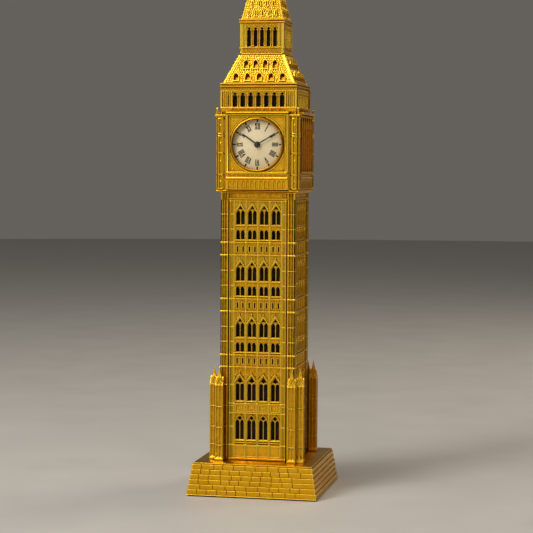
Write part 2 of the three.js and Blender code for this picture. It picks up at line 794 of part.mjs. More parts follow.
add('clock_panel_front', clockPanelFront(), gilt);
SIDES.slice(1).forEach((side, i) => add(`stage_panel_${side}`, stagePanel(), gilt, i + 1));
addFour('corner_turret', CORNERS, cornerTurret(), gilt);
add('stage_cornice', stageCornice(), gilt);

const SHORT_ARCADE_HALF = BELFRY.half - BELFRY.wall - FIT;
SIDES.forEach((side, turns) => {
  const halfLength = turns % 2 ? SHORT_ARCADE_HALF : BELFRY.half;
  add(`belfry_arcade_${side}`, belfryArcade(halfLength), gilt, turns);
});
add('belfry_liner', squareSleeve(LINER.belfryHalf, LINER.wall, BELFRY.bottom, BELFRY.top), patina);
add('belfry_cornice', belfryCornice(), gilt);
add('lower_roof', lowerRoof(), gilt);
add('lantern_arcade', lanternArcade(), gilt);
add('lantern_liner', squareSleeve(LINER.lanternHalf, LINER.wall, LANTERN.bottom, LANTERN.top), patina);
add('lantern_cornice', lanternCornice(), gilt);
add('upper_roof', upperRoof(), gilt);
add('finial', finial(), gilt);

add('clock_bezel', clockBezel(), gilt);
add('clock_lens', rod(CLOCK.radius - FIT, ...LAYER.lens, 0, CLOCK.z, 48), lensGlass);
add('clock_dial', ring(1.6, CLOCK.radius - FIT, ...LAYER.dial), dialEnamel);
add('movement_case', movementCase(), blackPlastic);
add('case_back', caseBack(), blackPlastic);
add('grip_band', ring(CASE.outer + 0.05, CLOCK.bore - FIT, ...LAYER.gripBand), rubber);
add('circuit_board', circuitBoard(), boardGreen);
add('drive_coil', driveCoil(), copper);
add('battery', battery(), cellSteel);
add('battery_contact', batteryContact(), steel);
add('cannon_pinion', cannonPinion(), brass);
add('minute_hand', hand(MINUTE_HAND, LAYER.minuteHand, HANDS.minuteAngle), handLacquer);
add('hand_cap', handCap(), handLacquer);
add('hour_wheel', hourWheel(), whitePlastic);
add('hour_hand', hand(HOUR_HAND, LAYER.hourHand, HANDS.hourAngle), handLacquer);
add('minute_wheel', minuteWheel(), whitePlastic);
add('setting_knob', settingKnob(), whitePlastic);

export default tower;
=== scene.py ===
import json
import math
import random

import bmesh
import bpy
from mathutils import Matrix, Vector
from mathutils.geometry import tessellate_polygon


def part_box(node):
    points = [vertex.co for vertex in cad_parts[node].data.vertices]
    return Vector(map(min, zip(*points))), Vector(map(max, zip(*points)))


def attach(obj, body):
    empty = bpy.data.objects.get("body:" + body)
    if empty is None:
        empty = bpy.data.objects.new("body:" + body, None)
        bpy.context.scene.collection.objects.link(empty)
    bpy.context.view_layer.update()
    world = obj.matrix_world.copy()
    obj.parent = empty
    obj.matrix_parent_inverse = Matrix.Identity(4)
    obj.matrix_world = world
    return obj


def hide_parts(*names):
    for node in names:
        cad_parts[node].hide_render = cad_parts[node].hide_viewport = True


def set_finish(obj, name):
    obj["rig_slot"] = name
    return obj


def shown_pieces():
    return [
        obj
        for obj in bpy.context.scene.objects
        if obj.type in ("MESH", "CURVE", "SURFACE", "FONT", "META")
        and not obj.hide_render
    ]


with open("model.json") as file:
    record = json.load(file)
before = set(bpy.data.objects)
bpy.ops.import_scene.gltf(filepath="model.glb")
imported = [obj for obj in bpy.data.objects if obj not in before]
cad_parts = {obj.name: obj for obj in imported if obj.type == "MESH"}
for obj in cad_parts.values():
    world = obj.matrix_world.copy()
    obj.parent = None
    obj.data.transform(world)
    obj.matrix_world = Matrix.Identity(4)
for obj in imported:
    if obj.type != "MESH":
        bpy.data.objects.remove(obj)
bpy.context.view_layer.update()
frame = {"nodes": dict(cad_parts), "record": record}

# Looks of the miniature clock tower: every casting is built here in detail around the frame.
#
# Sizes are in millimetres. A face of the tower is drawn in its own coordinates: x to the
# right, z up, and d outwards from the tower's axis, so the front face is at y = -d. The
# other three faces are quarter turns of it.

MM = 0.001
SIDES = ("front", "right", "rear", "left")
CORNERS = ("front_right", "rear_right", "rear_left", "front_left")


def extent(node):
    """Lowest and highest corners of a CAD node, in millimetres."""
    low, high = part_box(node)
    return [v / MM for v in low], [v / MM for v in high]


def span(node):
    """Bottom, top and reach to the right of a CAD node."""
    low, high = extent(node)
    return low[2], high[2], high[0]


def depths(node):
    """How far out from the tower's axis the front and the back of a CAD node are."""
    low, high = extent(node)
    return -low[1], -high[1]


def spaced(count, pitch):
    """Positions at an even pitch, centred on zero."""
    return [(i - (count - 1) / 2) * pitch for i in range(count)]


# ---------------------------------------------------------------- shared sizes

SHAFT_BOTTOM, SHAFT_TOP, WALL_HALF = span("shaft_wall_front")
PIER_INNER = extent("corner_pier_front_right")[0][0]
PIER_OUTER = extent("corner_pier_front_right")[1][0]
PANEL_BOTTOM, PANEL_TOP, PANEL_HALF = span("clock_panel_front")
DIAL_BOTTOM, DIAL_TOP, _ = span("clock_dial")
CLOCK_Z = (DIAL_BOTTOM + DIAL_TOP) / 2

WALL_FACE = 19.1  # the walls' outer face, measured from the axis
BAY_PITCH = 6.45
BAYS = spaced(4, BAY_PITCH)
BAY_EDGES = spaced(5, BAY_PITCH)
LOWEST_BAND = 68.2
FIRST_STOREY = 74.7
STOREY_PITCH = 30.15
SLOT_BAND_RISE = 23.4
STOREYS = [FIRST_STOREY + i * STOREY_PITCH for i in range(3)]
SLOT_BANDS = [LOWEST_BAND] + [z + SLOT_BAND_RISE for z in STOREYS[:2]]
BANDS = STOREYS + SLOT_BANDS
CROSS_LINES = [26.2, 36.0, 47.2, 58.6] + [z + rise for z in STOREYS for rise in (7.2, 15.2)]

# ---------------------------------------------------------------- camera

CAMERA_PLACE = Vector((0.1925, -0.9231, 0.1763))
CAMERA_YAW = math.radians(11.74)
CAMERA_PITCH = math.radians(3.34)
CAMERA_ROLL = math.radians(0.3)
CAMERA_LENS = 117.1


def make_camera():
    data = bpy.data.cameras.new("camera")
    data.lens = CAMERA_LENS
    data.sensor_width = 36
    data.clip_start = 0.01
    camera = bpy.data.objects.new("camera", data)
    bpy.context.scene.collection.objects.link(camera)
    aim = Matrix.Rotation(CAMERA_YAW, 4, "Z") @ Matrix.Rotation(math.pi / 2 - CAMERA_PITCH, 4, "X")
    camera.matrix_world = Matrix.Translation(CAMERA_PLACE) @ aim @ Matrix.Rotation(CAMERA_ROLL, 4, "Z")
    bpy.context.scene.camera = camera


make_camera()

# ---------------------------------------------------------------- outlines


def rectangle(x0, z0, x1, z1):
    return [(x0, z0), (x1, z0), (x1, z1), (x0, z1)]


def gabled(x, foot, shoulder, apex, half):
    """Outline of an upright opening with a pointed top and straight rakes."""
    return [(x - half, foot), (x + half, foot), (x + half, shoulder), (x, apex), (x - half, shoulder)]


def arch(x, sill, spring, apex, half, steps=4):
    """Outline of an opening with an arched head: round if the rise equals half, else pointed."""
    rise = apex - spring
    radius = (rise * rise + half * half) / (2 * half)
    sweep = math.asin(min(1.0, rise / radius))
    right = []
    for i in range(steps + 1):
        angle = sweep * i / steps
        right.append((half - radius + radius * math.cos(angle), spring + radius * math.sin(angle)))
    left = [(-u, z) for u, z in reversed(right[:-1])]
    return [(x - half, sill), (x + half, sill)] + [(x + u, z) for u, z in right + left]


def arch_hood(x, spring, apex, half, width):
    """Outline of a strip of even width that follows an arched head from spring to spring."""
    outer = arch(x, spring, spring, apex + width, half + width)[2:]
    inner = arch(x, spring, spring, apex, half)[2:]
    return outer + inner[::-1]


def chevron(x, foot, apex, half, width):
    """Outline of a gablet: two straight rakes that meet at the apex."""
    drop = width * math.hypot(half, apex - foot) / half
    return [
        (x - half, foot), (x - half + width, foot), (x, apex - drop),
        (x + half - width, foot), (x + half, foot), (x, apex),
    ]


def circle(x, z, radius, count, offset=0.0):
    """Even points round a circle; the first is `offset` steps on from the right."""
    angles = [(i + offset) * 2 * math.pi / count for i in range(count)]
    return [(x + radius * math.cos(a), z + radius * math.sin(a)) for a in angles]


# ---------------------------------------------------------------- castings


class Casting:
    """Closed solids gathered for one mesh, as points (x, d, z) in millimetres and faces.

    The ornament methods take their depth from `face`, the plane that they stand on, and
    start `sink` below it so that nothing floats.
    """

    def __init__(self, face=0.0):
        self.points = []
        self.faces = []
        self.face = face

    def solid(self, points, faces):
        first = len(self.points)
        self.points += points
        self.faces += [[first + i for i in face] for face in faces]

    def between(self, near, far):
        """Closed solid between two outlines that have the same number of points."""
        n = len(near)
        sides = [[i, (i + 1) % n, n + (i + 1) % n, n + i] for i in range(n)]
        self.solid(near + far, [list(range(n)), list(range(2 * n - 1, n - 1, -1))] + sides)

    def prism(self, outline, d0, d1):
        self.between([(x, d1, z) for x, z in outline], [(x, d0, z) for x, z in outline])

    def block(self, x, d, z):
        self.prism(rectangle(x[0], z[0], x[1], z[1]), *d)

    def plate(self, outer, holes, d0, d1):
        """A plate pierced by holes that don't touch."""
        loops = [outer] + list(holes)
        flat = [p for loop in loops for p in loop]
        n = len(flat)
        caps = tessellate_polygon([[Vector((x, z, 0)) for x, z in loop] for loop in loops])
        faces = [list(t) for t in caps] + [[n + i for i in reversed(t)] for t in caps]
        first = 0
        for loop in loops:
            last = first + len(loop)
            for i in range(first, last):
                j = i + 1 if i + 1 < last else first
                faces.append([i, j, n + j, n + i])
            first = last
        self.solid([(x, d1, z) for x, z in flat] + [(x, d0, z) for x, z in flat], faces)

    def turned(self, profile, sides=4, x=0.0, d=0.0, foot=0.0):
        """Solid with flat sides round a vertical axis, from (distance to the flats, rise) points."""
        points = []
        for half, rise in profile:
            radius = half / math.cos(math.pi / sides)
            for i in range(sides):
                angle = (2 * i + 1) * math.pi / sides
                points.append((x + radius * math.sin(angle), d + radius * math.cos(angle), foot + rise))
        self.solid(points, tube_faces(sides, len(profile)))

    def post(self, half, z0, z1, sides=4, x=0.0, d=0.0):
        self.turned([(half, z0), (half, z1)], sides, x, d)

    def disc(self, profile, segments=64, x=0.0, z=CLOCK_Z):
        """Turned solid along d, closed at both ends, from (radius, d) points."""
        points = [(px, d, pz) for radius, d in profile for px, pz in circle(x, z, radius, segments)]
        self.solid(points, tube_faces(segments, len(profile)))

    def hoop(self, profile, segments=96):
        """Ring round the clock's axis, from a closed profile of (radius, d) points."""
        n = len(profile)
        points = []
        faces = []
        for k in range(segments):
            angle = 2 * math.pi * k / segments
            for radius, d in profile:
                points.append((radius * math.sin(angle), d, CLOCK_Z + radius * math.cos(angle)))
            after = (k + 1) % segments
            for i in range(n):
                j = (i + 1) % n
                faces.append([k * n + i, k * n + j, after * n + j, after * n + i])
        self.solid(points, faces)

    def raised(self, outline, proud, holes=(), sink=0.2):
        """Flat ornament on the face, pierced where there are holes."""
        if holes:
            self.plate(outline, holes, self.face - sink, self.face + proud)
        else:
            self.prism(outline, self.face - sink, self.face + proud)

    def rib(self, x, half, proud, z0, z1, sink=0.2):
        self.raised(rectangle(x - half, z0, x + half, z1), proud, sink=sink)

    def stud(self, x, z, radius, proud, count=6, sink=0.1):
        """Small faceted boss on the face."""
        near = [(px, self.face + proud, pz) for px, pz in circle(x, z, radius * 0.55, count)]
        far = [(px, self.face - sink, pz) for px, pz in circle(x, z, radius, count)]
        self.between(near, far)

    def moulding(self, half, z, profile, x=0.0):
        """A run of moulding across the face, from its profile's (proud, rise) points."""
        left, right = [
            [(end, self.face + proud, z + rise) for proud, rise in profile]
            for end in (x - half, x + half)
        ]
        self.between(left, right)

    def sill(self, half, z, proud=0.7, height=0.5, x=0.0):
        top = height / 2
        self.moulding(half, z, [
            (-0.3, -top), (proud, -top), (proud, top / 2), (proud * 0.4, top), (-0.3, top),
        ], x)

    def four_ways(self):
        """Adds the three quarter turns of everything so far."""
        points, faces = list(self.points), list(self.faces)
        for turn in (1, 2, 3):
            c, s = round(math.cos(turn * math.pi / 2)), round(math.sin(turn * math.pi / 2))
            self.solid([(x * c + d * s, -x * s + d * c, z) for x, d, z in points], faces)
        return self


def tube_faces(sides, rings):
    """Faces of a stack of rings with the same number of points, capped at both ends."""
    last = sides * rings - 1
    faces = [list(range(sides)), list(range(last, last - sides, -1))]
    for k in range(rings - 1):
        for i in range(sides):
            a, b = k * sides + i, k * sides + (i + 1) % sides
            faces.append([a, b, b + sides, a + sides])
    return faces


def mesh_from(casting, name, bevel=0.0, smooth_degrees=28):
    """Closed mesh with its faces outwards, its sharp edges bevelled and the rest smooth."""
    mesh = bpy.data.meshes.new(name)
    mesh.from_pydata([(x * MM, -d * MM, z * MM) for x, d, z in casting.points], [], casting.faces)
    bm = bmesh.new()
    bm.from_mesh(mesh)
    bmesh.ops.recalc_face_normals(bm, faces=bm.faces)
    limit = math.radians(smooth_degrees)
    if bevel:
        sharp = [e for e in bm.edges if len(e.link_faces) == 2 and e.calc_face_angle(0) > limit]
        bmesh.ops.bevel(bm, geom=sharp, offset=bevel * MM, segments=1, affect="EDGES", clamp_overlap=True)
    for face in bm.faces:
        face.smooth = True
    for edge in bm.edges:
        edge.smooth = len(edge.link_faces) == 2 and edge.calc_face_angle(0) < limit
    bm.to_mesh(mesh)
    bm.free()
    mesh.update()
    return mesh


def place(mesh, name, nodes, slot="gilt", body="tower", turn=0):
    """One piece: the mesh in quarter turn `turn`, which stands for the given CAD nodes."""
    piece = bpy.data.objects.new(name, mesh)
    bpy.context.scene.collection.objects.link(piece)
    piece.matrix_world = Matrix.Rotation(turn * math.pi / 2, 4, "Z")
    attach(piece, body)
    if nodes:
        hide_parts(*nodes)
    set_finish(piece, slot)


def cast(drawn, node, bevel, smooth_degrees=28):
    """The gilt casting that stands for one CAD node of the tower."""
    place(mesh_from(drawn, node, bevel, smooth_degrees), f"{node}_cast", [node])


def cast_round(drawn, stem, names, bevel, first_turn=0):
    """The same gilt casting on several sides or corners, each a quarter turn on."""
    mesh = mesh_from(drawn, stem, bevel)
    for turn, name in enumerate(names, first_turn):
        place(mesh, f"{stem}_{name}_cast", [f"{stem}_{name}"], turn=turn)


# ---------------------------------------------------------------- materials


class Nodes:
    """A node material and short names for the nodes that the materials share."""

    def __init__(self, name):
        self.material = bpy.data.materials.new(name)
        self.material.use_nodes = True
        self.tree = self.material.node_tree
        self.shader = self.tree.nodes["Principled BSDF"]
        self.place = self.node("ShaderNodeTexCoord").outputs["Object"]

    def give(self, socket, value):
        """Feeds an input with another node's output, a colour or a number."""
        if isinstance(value, bpy.types.NodeSocket):
            self.tree.links.new(value, socket)
        else:
            socket.default_value = (*value, 1.0) if isinstance(value, tuple) else value

    def node(self, kind, inputs=(), **settings):
        """New node with its settings, and with the inputs given by name or by number."""
        made = self.tree.nodes.new(kind)
        for key, value in settings.items():
            setattr(made, key, value)
        for key, value in dict(inputs).items():
            self.give(made.inputs[key], value)
        return made

    def noise(self, per_mm, detail=3.0, rough=0.55):
        inputs = {"Vector": self.place, "Scale": per_mm / MM, "Detail": detail, "Roughness": rough}
        return self.node("ShaderNodeTexNoise", inputs).outputs["Fac"]

    def ramp(self, source, *stops):
        """Colour ramp from (position, colour) stops."""
        made = self.node("ShaderNodeValToRGB", {"Fac": source})
        elements = made.color_ramp.elements
        while len(elements) < len(stops):
            elements.new(0.5)
        for element, (position, colour) in zip(elements, stops):
            element.position = position
            element.color = (*colour, 1.0)
        return made.outputs["Color"]

    def grey(self, source, low, high, start=0.0, end=1.0):
        """Maps a factor to a number between low and high."""
        inputs = {"Value": source, "From Min": start, "From Max": end, "To Min": low, "To Max": high}
        return self.node("ShaderNodeMapRange", inputs).outputs["Result"]

    def mix(self, factor, first, second):
        colours = {"Factor": factor, 6: first, 7: second}
        return self.node("ShaderNodeMix", colours, data_type="RGBA").outputs[2]

    def maths(self, operation, first, second):
        made = self.node("ShaderNodeMath", {0: first, 1: second}, operation=operation, use_clamp=True)
        return made.outputs["Value"]

    def occlusion(self, reach_mm, inside=False):
        inputs = {"Distance": reach_mm * MM}
        return self.node("ShaderNodeAmbientOcclusion", inputs, samples=8, inside=inside).outputs["AO"]

    def bump(self, height, depth_mm, strength=1.0):
        inputs = {"Height": height, "Distance": depth_mm * MM, "Strength": strength}
        self.shade(Normal=self.node("ShaderNodeBump", inputs).outputs["Normal"])

    def shade(self, **values):
        """Gives the shader's inputs their values."""
        for key, value in values.items():
            self.give(self.shader.inputs[key.replace("_", " ")], value)


def gilt_material():
    """Satin gold plate: amber and brown patina with painted shade deepens into the recesses, and thin edges
    are partly rubbed bright and partly carry a painted highlight.
    """
    m = Nodes("gilt")
    cloud = m.noise(0.09, 4.0)
    grain = m.noise(1.6, 3.0, 0.6)
    pits = m.noise(0.55, 2.0)
    # Painted shade and patina: occlusion within 2.2 mm darkens the gold through amber to near-black brown
    # in recesses and between parts.
    exposed = m.maths("ADD", m.occlusion(2.2), m.grey(pits, -0.08, 0.08, 0.3, 0.7))
    tone = m.ramp(
        exposed,
        (0.30, (0.040, 0.010, 0.001)),
        (0.50, (0.25, 0.085, 0.003)),
        (0.72, (0.62, 0.285, 0.008)),
        (0.95, (0.83, 0.460, 0.018)),
    )
    # Painted highlight and wear: thin edges, ribs and ledges are mixed to bright yellow gold, as if they
    # caught the light as well as being rubbed.
    edge_wear_and_highlight = m.grey(m.occlusion(0.45, inside=True), 0.85, 0.0, 0.25, 0.68)
    clouded = m.mix(m.grey(cloud, 0.0, 0.35, 0.4, 0.7), tone, (0.58, 0.25, 0.007))
    tarnish = m.grey(exposed, 0.25, 0.0, 0.2, 0.6)
    m.shade(
        Base_Color=m.mix(edge_wear_and_highlight, clouded, (1.0, 0.74, 0.07)),
        Metallic=1.0,
        Roughness=m.maths("ADD", m.grey(grain, 0.24, 0.40, 0.3, 0.7), tarnish),
    )
    m.bump(m.maths("ADD", m.maths("MULTIPLY", grain, 0.35), m.maths("MULTIPLY", pits, 0.65)), 0.05, 0.7)
    return m.material


def patina_and_shade_material():
    """Nearly black old tarnish, which also stands in as painted shade for the dark inside behind the
    openings.
    """
    m = Nodes("patina")
    # Painted shade and tarnish: near-black brown, so that the parts seen through the openings read as the
    # shade inside.
    tone = m.ramp(m.noise(0.25), (0.35, (0.010, 0.005, 0.002)), (0.7, (0.035, 0.016, 0.005)))
    m.shade(Base_Color=tone, Metallic=0.7, Roughness=0.6)
    m.bump(m.noise(1.2), 0.05)
    return m.material


def plain_material(name, dark, light, rough, metal=0.0, grain=0.8, depth=0.02):
    """Material with a fine grain: two tones, a roughness and a small relief."""
    m = Nodes(name)
    noise = m.noise(grain, 4.0)
    m.shade(
        Base_Color=m.ramp(noise, (0.3, dark), (0.7, light)),
        Metallic=metal,
        Roughness=m.grey(noise, rough * 0.85, min(1.0, rough * 1.15)),
    )
    m.bump(noise, depth)
    return m.material


def lens_material():
    m = Nodes("lens")
    m.shade(Base_Color=(0.02, 0.022, 0.022), Alpha=0.05, Roughness=m.grey(m.noise(0.05), 0.03, 0.06))
    return m.material


MATERIALS = {
    "gilt": gilt_material(),
    "patina": patina_and_shade_material(),
    "rubber": plain_material(
        "rubber", (0.012, 0.012, 0.012), (0.03, 0.03, 0.03), 0.85, grain=1.5, depth=0.05
    ),
    "steel": plain_material("steel", (0.42, 0.42, 0.41), (0.58, 0.58, 0.57), 0.36, metal=1.0),
    "lens": lens_material(),
    "dial": plain_material("dial", (0.84, 0.71, 0.43), (0.90, 0.78, 0.50), 0.55, grain=0.6, depth=0.008),
    "hands": plain_material("hands", (0.004, 0.003, 0.003), (0.009, 0.007, 0.006), 0.5),
    "black_plastic": plain_material(
        "black_plastic", (0.012, 0.012, 0.013), (0.024, 0.024, 0.026), 0.55
    ),
    "white_plastic": plain_material("white_plastic", (0.66, 0.65, 0.60), (0.75, 0.74, 0.70), 0.45),
    "brass": plain_material("brass", (0.50, 0.33, 0.09), (0.64, 0.45, 0.16), 0.32, metal=1.0),
    "circuit": plain_material("circuit", (0.010, 0.07, 0.025), (0.02, 0.13, 0.05), 0.4, grain=0.3),
    "copper": plain_material(
        "copper", (0.40, 0.15, 0.05), (0.60, 0.27, 0.11), 0.35, metal=1.0, grain=3.0, depth=0.05
    ),
    "cell": plain_material("cell", (0.55, 0.55, 0.53), (0.68, 0.68, 0.66), 0.22, metal=1.0),
}


def paint_everything():
    """Gives every piece and every CAD node that shows the material of its slot."""
    painted = [(frame["nodes"][row["node"]], row["material_slot"]) for row in frame["record"]["subparts"]]
    painted += [(piece, piece["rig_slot"]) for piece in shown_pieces() if piece.get("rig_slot")]
    for made, slot in painted:
        made.data.materials.clear()
        made.data.materials.append(MATERIALS[slot])


# ---------------------------------------------------------------- plinth


def masonry_course(casting, z0, z1, half0, half1, dice):
    """Blocks of one course on the front face, between two heights and two half widths."""
    depth = 1.5
    joint = 0.15
    cuts = [-1.0]
    while cuts[-1] < 0.85:
        cuts.append(cuts[-1] + dice.uniform(0.14, 0.21))
    cuts[-1] = 1.0
    for left, right in zip(cuts, cuts[1:]):
        proud = dice.uniform(-0.05, 0.06)
        near, far = [], []
        for edge, z, half in ((left, z0, half0), (right, z0, half0), (right, z1, half1), (left, z1, half1)):
            at_corner = abs(edge) == 1.0
            gap = 0.0 if at_corner else (joint / 2 if edge == left else -joint / 2)
            near.append((edge * (half + proud if at_corner else half) + gap, half + proud, z))
            far.append((edge * (half - depth if at_corner else half) + gap, half - depth, z))
        casting.between(near, far)


def plinth():
    """Six sloping courses of blocks between a thin lip and a plain cap."""
    low, high, bottom_half = span("plinth")
    top_half = 32.0
    lip, cap = 0.4, 1.0
    ledge, joint, set_back = 0.45, 0.06, 0.55
    courses = 6
    course = (high - low - lip - cap) / courses

    def half_at(z):
        return bottom_half - (bottom_half - top_half) * (z - low) / (high - low)

    casting = Casting()
    dice = random.Random(4)
    for i in range(courses):
        z = low + lip + i * course
        masonry_course(casting, z + joint, z + course, half_at(z), half_at(z + course) + ledge, dice)
    casting.four_ways()
    casting.turned([
        (bottom_half, low), (bottom_half + 0.25, low + 0.08), (bottom_half + 0.2, low + lip),
        (half_at(low) - set_back, low + lip + 0.1), (half_at(high) - set_back, high - cap),
        (top_half, high - cap + 0.05), (top_half + 0.1, high - 0.25), (top_half - 0.1, high),
    ])
    return casting


# ---------------------------------------------------------------- shaft

OPENING_HALF = 2.4
BAY_SILL_HALF = 2.7
LIGHT_OFFSET = 1.26
LIGHT_HALF = 1.04
SLOT_OFFSET = 1.5
LANCET = (28.9, 38.0, 42.2)  # foot, spring and apex of the base storey's tall openings
SECOND_WINDOW = (49.9, 60.3, 63.4)  # foot, shoulder and apex of the gabled ones above


def band(wall, z):
    """String course: a thin bright lip over a roll, with a sloping top."""
    proud = 1.2
    wall.moulding(WALL_HALF, z, [
        (-0.3, -0.55), (proud * 0.4, -0.42), (proud * 0.5, -0.14), (proud, -0.1),
        (proud, 0.3), (proud * 0.5, 0.38), (-0.3, 0.6),
    ])


def pair_of_lights(x, foot, spring, apex):
    """Outlines of the two lights that share a bay."""
    return [arch(x + side * LIGHT_OFFSET, foot, spring, apex, LIGHT_HALF) for side in (-1, 1)]


def jambs(wall, x, foot, head):
    """Thin roll down each side of a bay's opening."""
    for side in (-1, 1):
        wall.rib(x + side * 2.52, 0.11, 0.42, foot, head)


def tracery(wall, x, outline, openings):
    """Thin pierced plate set back in a bay opening, with a faceted mullion in front."""
    wall.raised(outline, -0.4, openings, sink=0.95)
    heights = [z for _, z in openings[0]]
    wall.post(0.18, min(heights), max(heights), 6, x, wall.face - 0.35)


def border(wall, x, heights, half, widths, proud):
    """Raised edge of a rectangular panel, with its widths at the sides and at the ends."""
    low, high = heights
    across, along = widths
    hole = rectangle(x - half + across, low + along, x + half - across, high - along)
    wall.raised(rectangle(x - half, low, x + half, high), proud, [hole])


def gablet(wall, x, foot, apex, half):
    """Steep gable over a window, with a finial at its point and small bosses on its rakes."""
    wall.raised(chevron(x, foot, apex, half, 0.75), 0.9)
    wall.raised(chevron(x, foot + 0.15, apex - 0.55, half - 0.45, 0.35), 1.1)
    wall.turned([(0.12, -0.4), (0.32, 0.1), (0.3, 0.4), (0.06, 1.0)], 6, x, wall.face + 0.6, apex)
    for share in (0.3, 0.62):
        z = foot + (apex - foot) * share + 0.25
        for side in (-1, 1):
            wall.stud(x + side * half * (1 - share), z, 0.28, 1.0, 5, sink=0.0)


def base_storey(wall):
    """Panels, tall lancets, square panels and the second row of windows."""
    wall.sill(WALL_HALF, 18.8, 1.3, 1.2)
    for z, proud in ((26.2, 1.0), (43.4, 0.8), (48.6, 0.9)):
        wall.sill(WALL_HALF, z, proud, 0.6)
    for x in BAYS:
        for z, proud, height in ((27.4, 0.9, 0.5), (28.5, 0.6, 0.4), (49.6, 0.7, 0.5)):
            wall.sill(BAY_SILL_HALF, z, proud, height, x)
        border(wall, x, (19.6, 25.8), 2.9, (0.4, 0.5), 0.25)
        border(wall, x, (43.9, 48.1), 2.8, (0.8, 0.6), 0.4)
        wall.stud(x, 46.0, 0.65, 0.35, 4)
        for side in (-1, 1):
            wall.rib(x + side * 1.0, 0.16, 0.2, 44.7, 47.3)
            wall.stud(x + side * 1.4, 66.2, 0.55, 0.6)
            wall.stud(x + side * 2.25, 63.9, 0.4, 0.35)
        jambs(wall, x, 28.9, 38.2)
        wall.raised(arch_hood(x, 38.0, 42.2, 2.45, 0.45), 0.6)
        wall.stud(x, 43.0, 0.4, 0.7)
        tracery(wall, x, arch(x, 28.8, 38.0, 42.4, 2.5), [
            *pair_of_lights(x, 29.0, 38.1, 39.7),
            [(x, 39.05), (x + 1.2, 40.6), (x, 41.85), (x - 1.2, 40.6)],
        ])
        jambs(wall, x, 49.9, 60.4)
        gablet(wall, x, 60.4, 65.1, 3.1)
        tracery(wall, x, gabled(x, 49.8, 60.2, 63.6, 2.5), [
            *pair_of_lights(x, 50.0, 58.1, 59.2),
            [(x, 59.35), (x + 0.75, 60.0), (x + 1.75, 60.2), (x, 62.6), (x - 1.75, 60.2), (x - 0.75, 60.0)],
        ])


def bay_opening(x, z):
    """Opening for the tall lights and the gable light of the storey that starts at z."""
    return gabled(x, z + 9.5, z + 16.6, z + 20.2, OPENING_HALF)


def upper_storey(wall, z):
    """Small lights, a sill, tall lights and a gable light in each bay."""
    wall.sill(BAY_EDGES[-1], z + 1.3, 0.7, 0.45)
    for x in BAYS:
        wall.sill(BAY_SILL_HALF, z + 9.15, 0.85, 0.6, x)
        jambs(wall, x, z + 9.5, z + 17.0)
        jambs(wall, x, z + 1.7, z + 6.4)
        gablet(wall, x, z + 16.9, z + 21.4, 2.95)
        tracery(wall, x, bay_opening(x, z), [
            *pair_of_lights(x, z + 9.7, z + 15.4, z + 17.3),
            [(x - 1.3, z + 17.65), (x, z + 17.95), (x + 1.3, z + 17.65), (x, z + 19.7)],
        ])
        wall.stud(x, z + 7.7, 0.36, 0.3, 4)
        for side in (-1, 1):
            centre = x + side * LIGHT_OFFSET
            wall.raised(arch_hood(centre, z + 5.3, z + 6.9, LIGHT_HALF, 0.2), 0.35)
            wall.stud(centre, z + 8.1, 0.4, 0.35, 4)
            wall.stud(x + side * 1.5, z + 22.2, 0.42, 0.5)
            for u in (0.75, 1.5, 2.25):
                wall.rib(x + side * u, 0.13, 0.28, z + 21.4 - 1.45 * u, z + 22.8)


def slot_row(wall, z):
    """Trim of the narrow slots over the band at z."""
    for x in BAYS:
        wall.rib(x, 0.15, 0.4, z + 0.6, z + 6.2)
        for side in (-1, 1):
            centre = x + side * SLOT_OFFSET
            wall.raised(arch_hood(centre, z + 4.3, z + 5.0, 0.55, 0.25), 0.4)
            wall.stud(centre, z + 1.2, 0.34, 0.4, 4)
            for jamb in (centre - 0.675, centre + 0.675):
                wall.rib(jamb, 0.125, 0.25, z + 1.0, z + 5.4)


def wall_openings():
    """Every opening of a wall: lancets, gabled windows, small lights and slots."""
    holes = []
    for x in BAYS:
        holes.append(arch(x, *LANCET, OPENING_HALF))
        holes.append(gabled(x, *SECOND_WINDOW, OPENING_HALF))
        for z in STOREYS:
            holes += pair_of_lights(x, z + 1.7, z + 5.3, z + 6.9)
            holes.append(bay_opening(x, z))
        for z in SLOT_BANDS:
            holes += [arch(x + side * SLOT_OFFSET, z + 1.8, z + 4.5, z + 4.9, 0.4, 2) for side in (-1, 1)]
    return holes


def shaft_wall():
    """One pierced wall of the shaft with its ribs, bands, gablets and tracery."""
    wall = Casting(WALL_FACE)
    bottom, top = SHAFT_BOTTOM, SHAFT_TOP
    wall.raised(rectangle(-WALL_HALF, bottom, WALL_HALF, top), 0.0, wall_openings(), sink=1.2)
    base_storey(wall)
    for z in STOREYS:
        upper_storey(wall, z)
    for z in BANDS:
        band(wall, z)
    for z in SLOT_BANDS:
        slot_row(wall, z)
    for x in BAY_EDGES:
        wall.rib(x, 0.48, 0.25, bottom, top - 0.1)
        wall.rib(x, 0.2, 0.8, bottom, top - 0.3)
    for side in (-1, 1):
        for centre, half, proud in ((13.7, 0.17, 0.45), (14.4, 0.17, 0.45), (15.15, 0.27, 0.95)):
            wall.rib(side * centre, half, proud, bottom, top)
        for z in CROSS_LINES:
            wall.rib(side * 14.25, 1.2, 0.55, z - 0.22, z + 0.22)
        gap = sorted((side * (WALL_HALF - 0.3), side * (PIER_INNER - 0.03)))
        wall.block(gap, (WALL_FACE - 1.2, WALL_FACE - 0.35), (bottom, top))
    wall.sill(WALL_HALF, top - 0.5, 1.0, 0.8)
    return wall


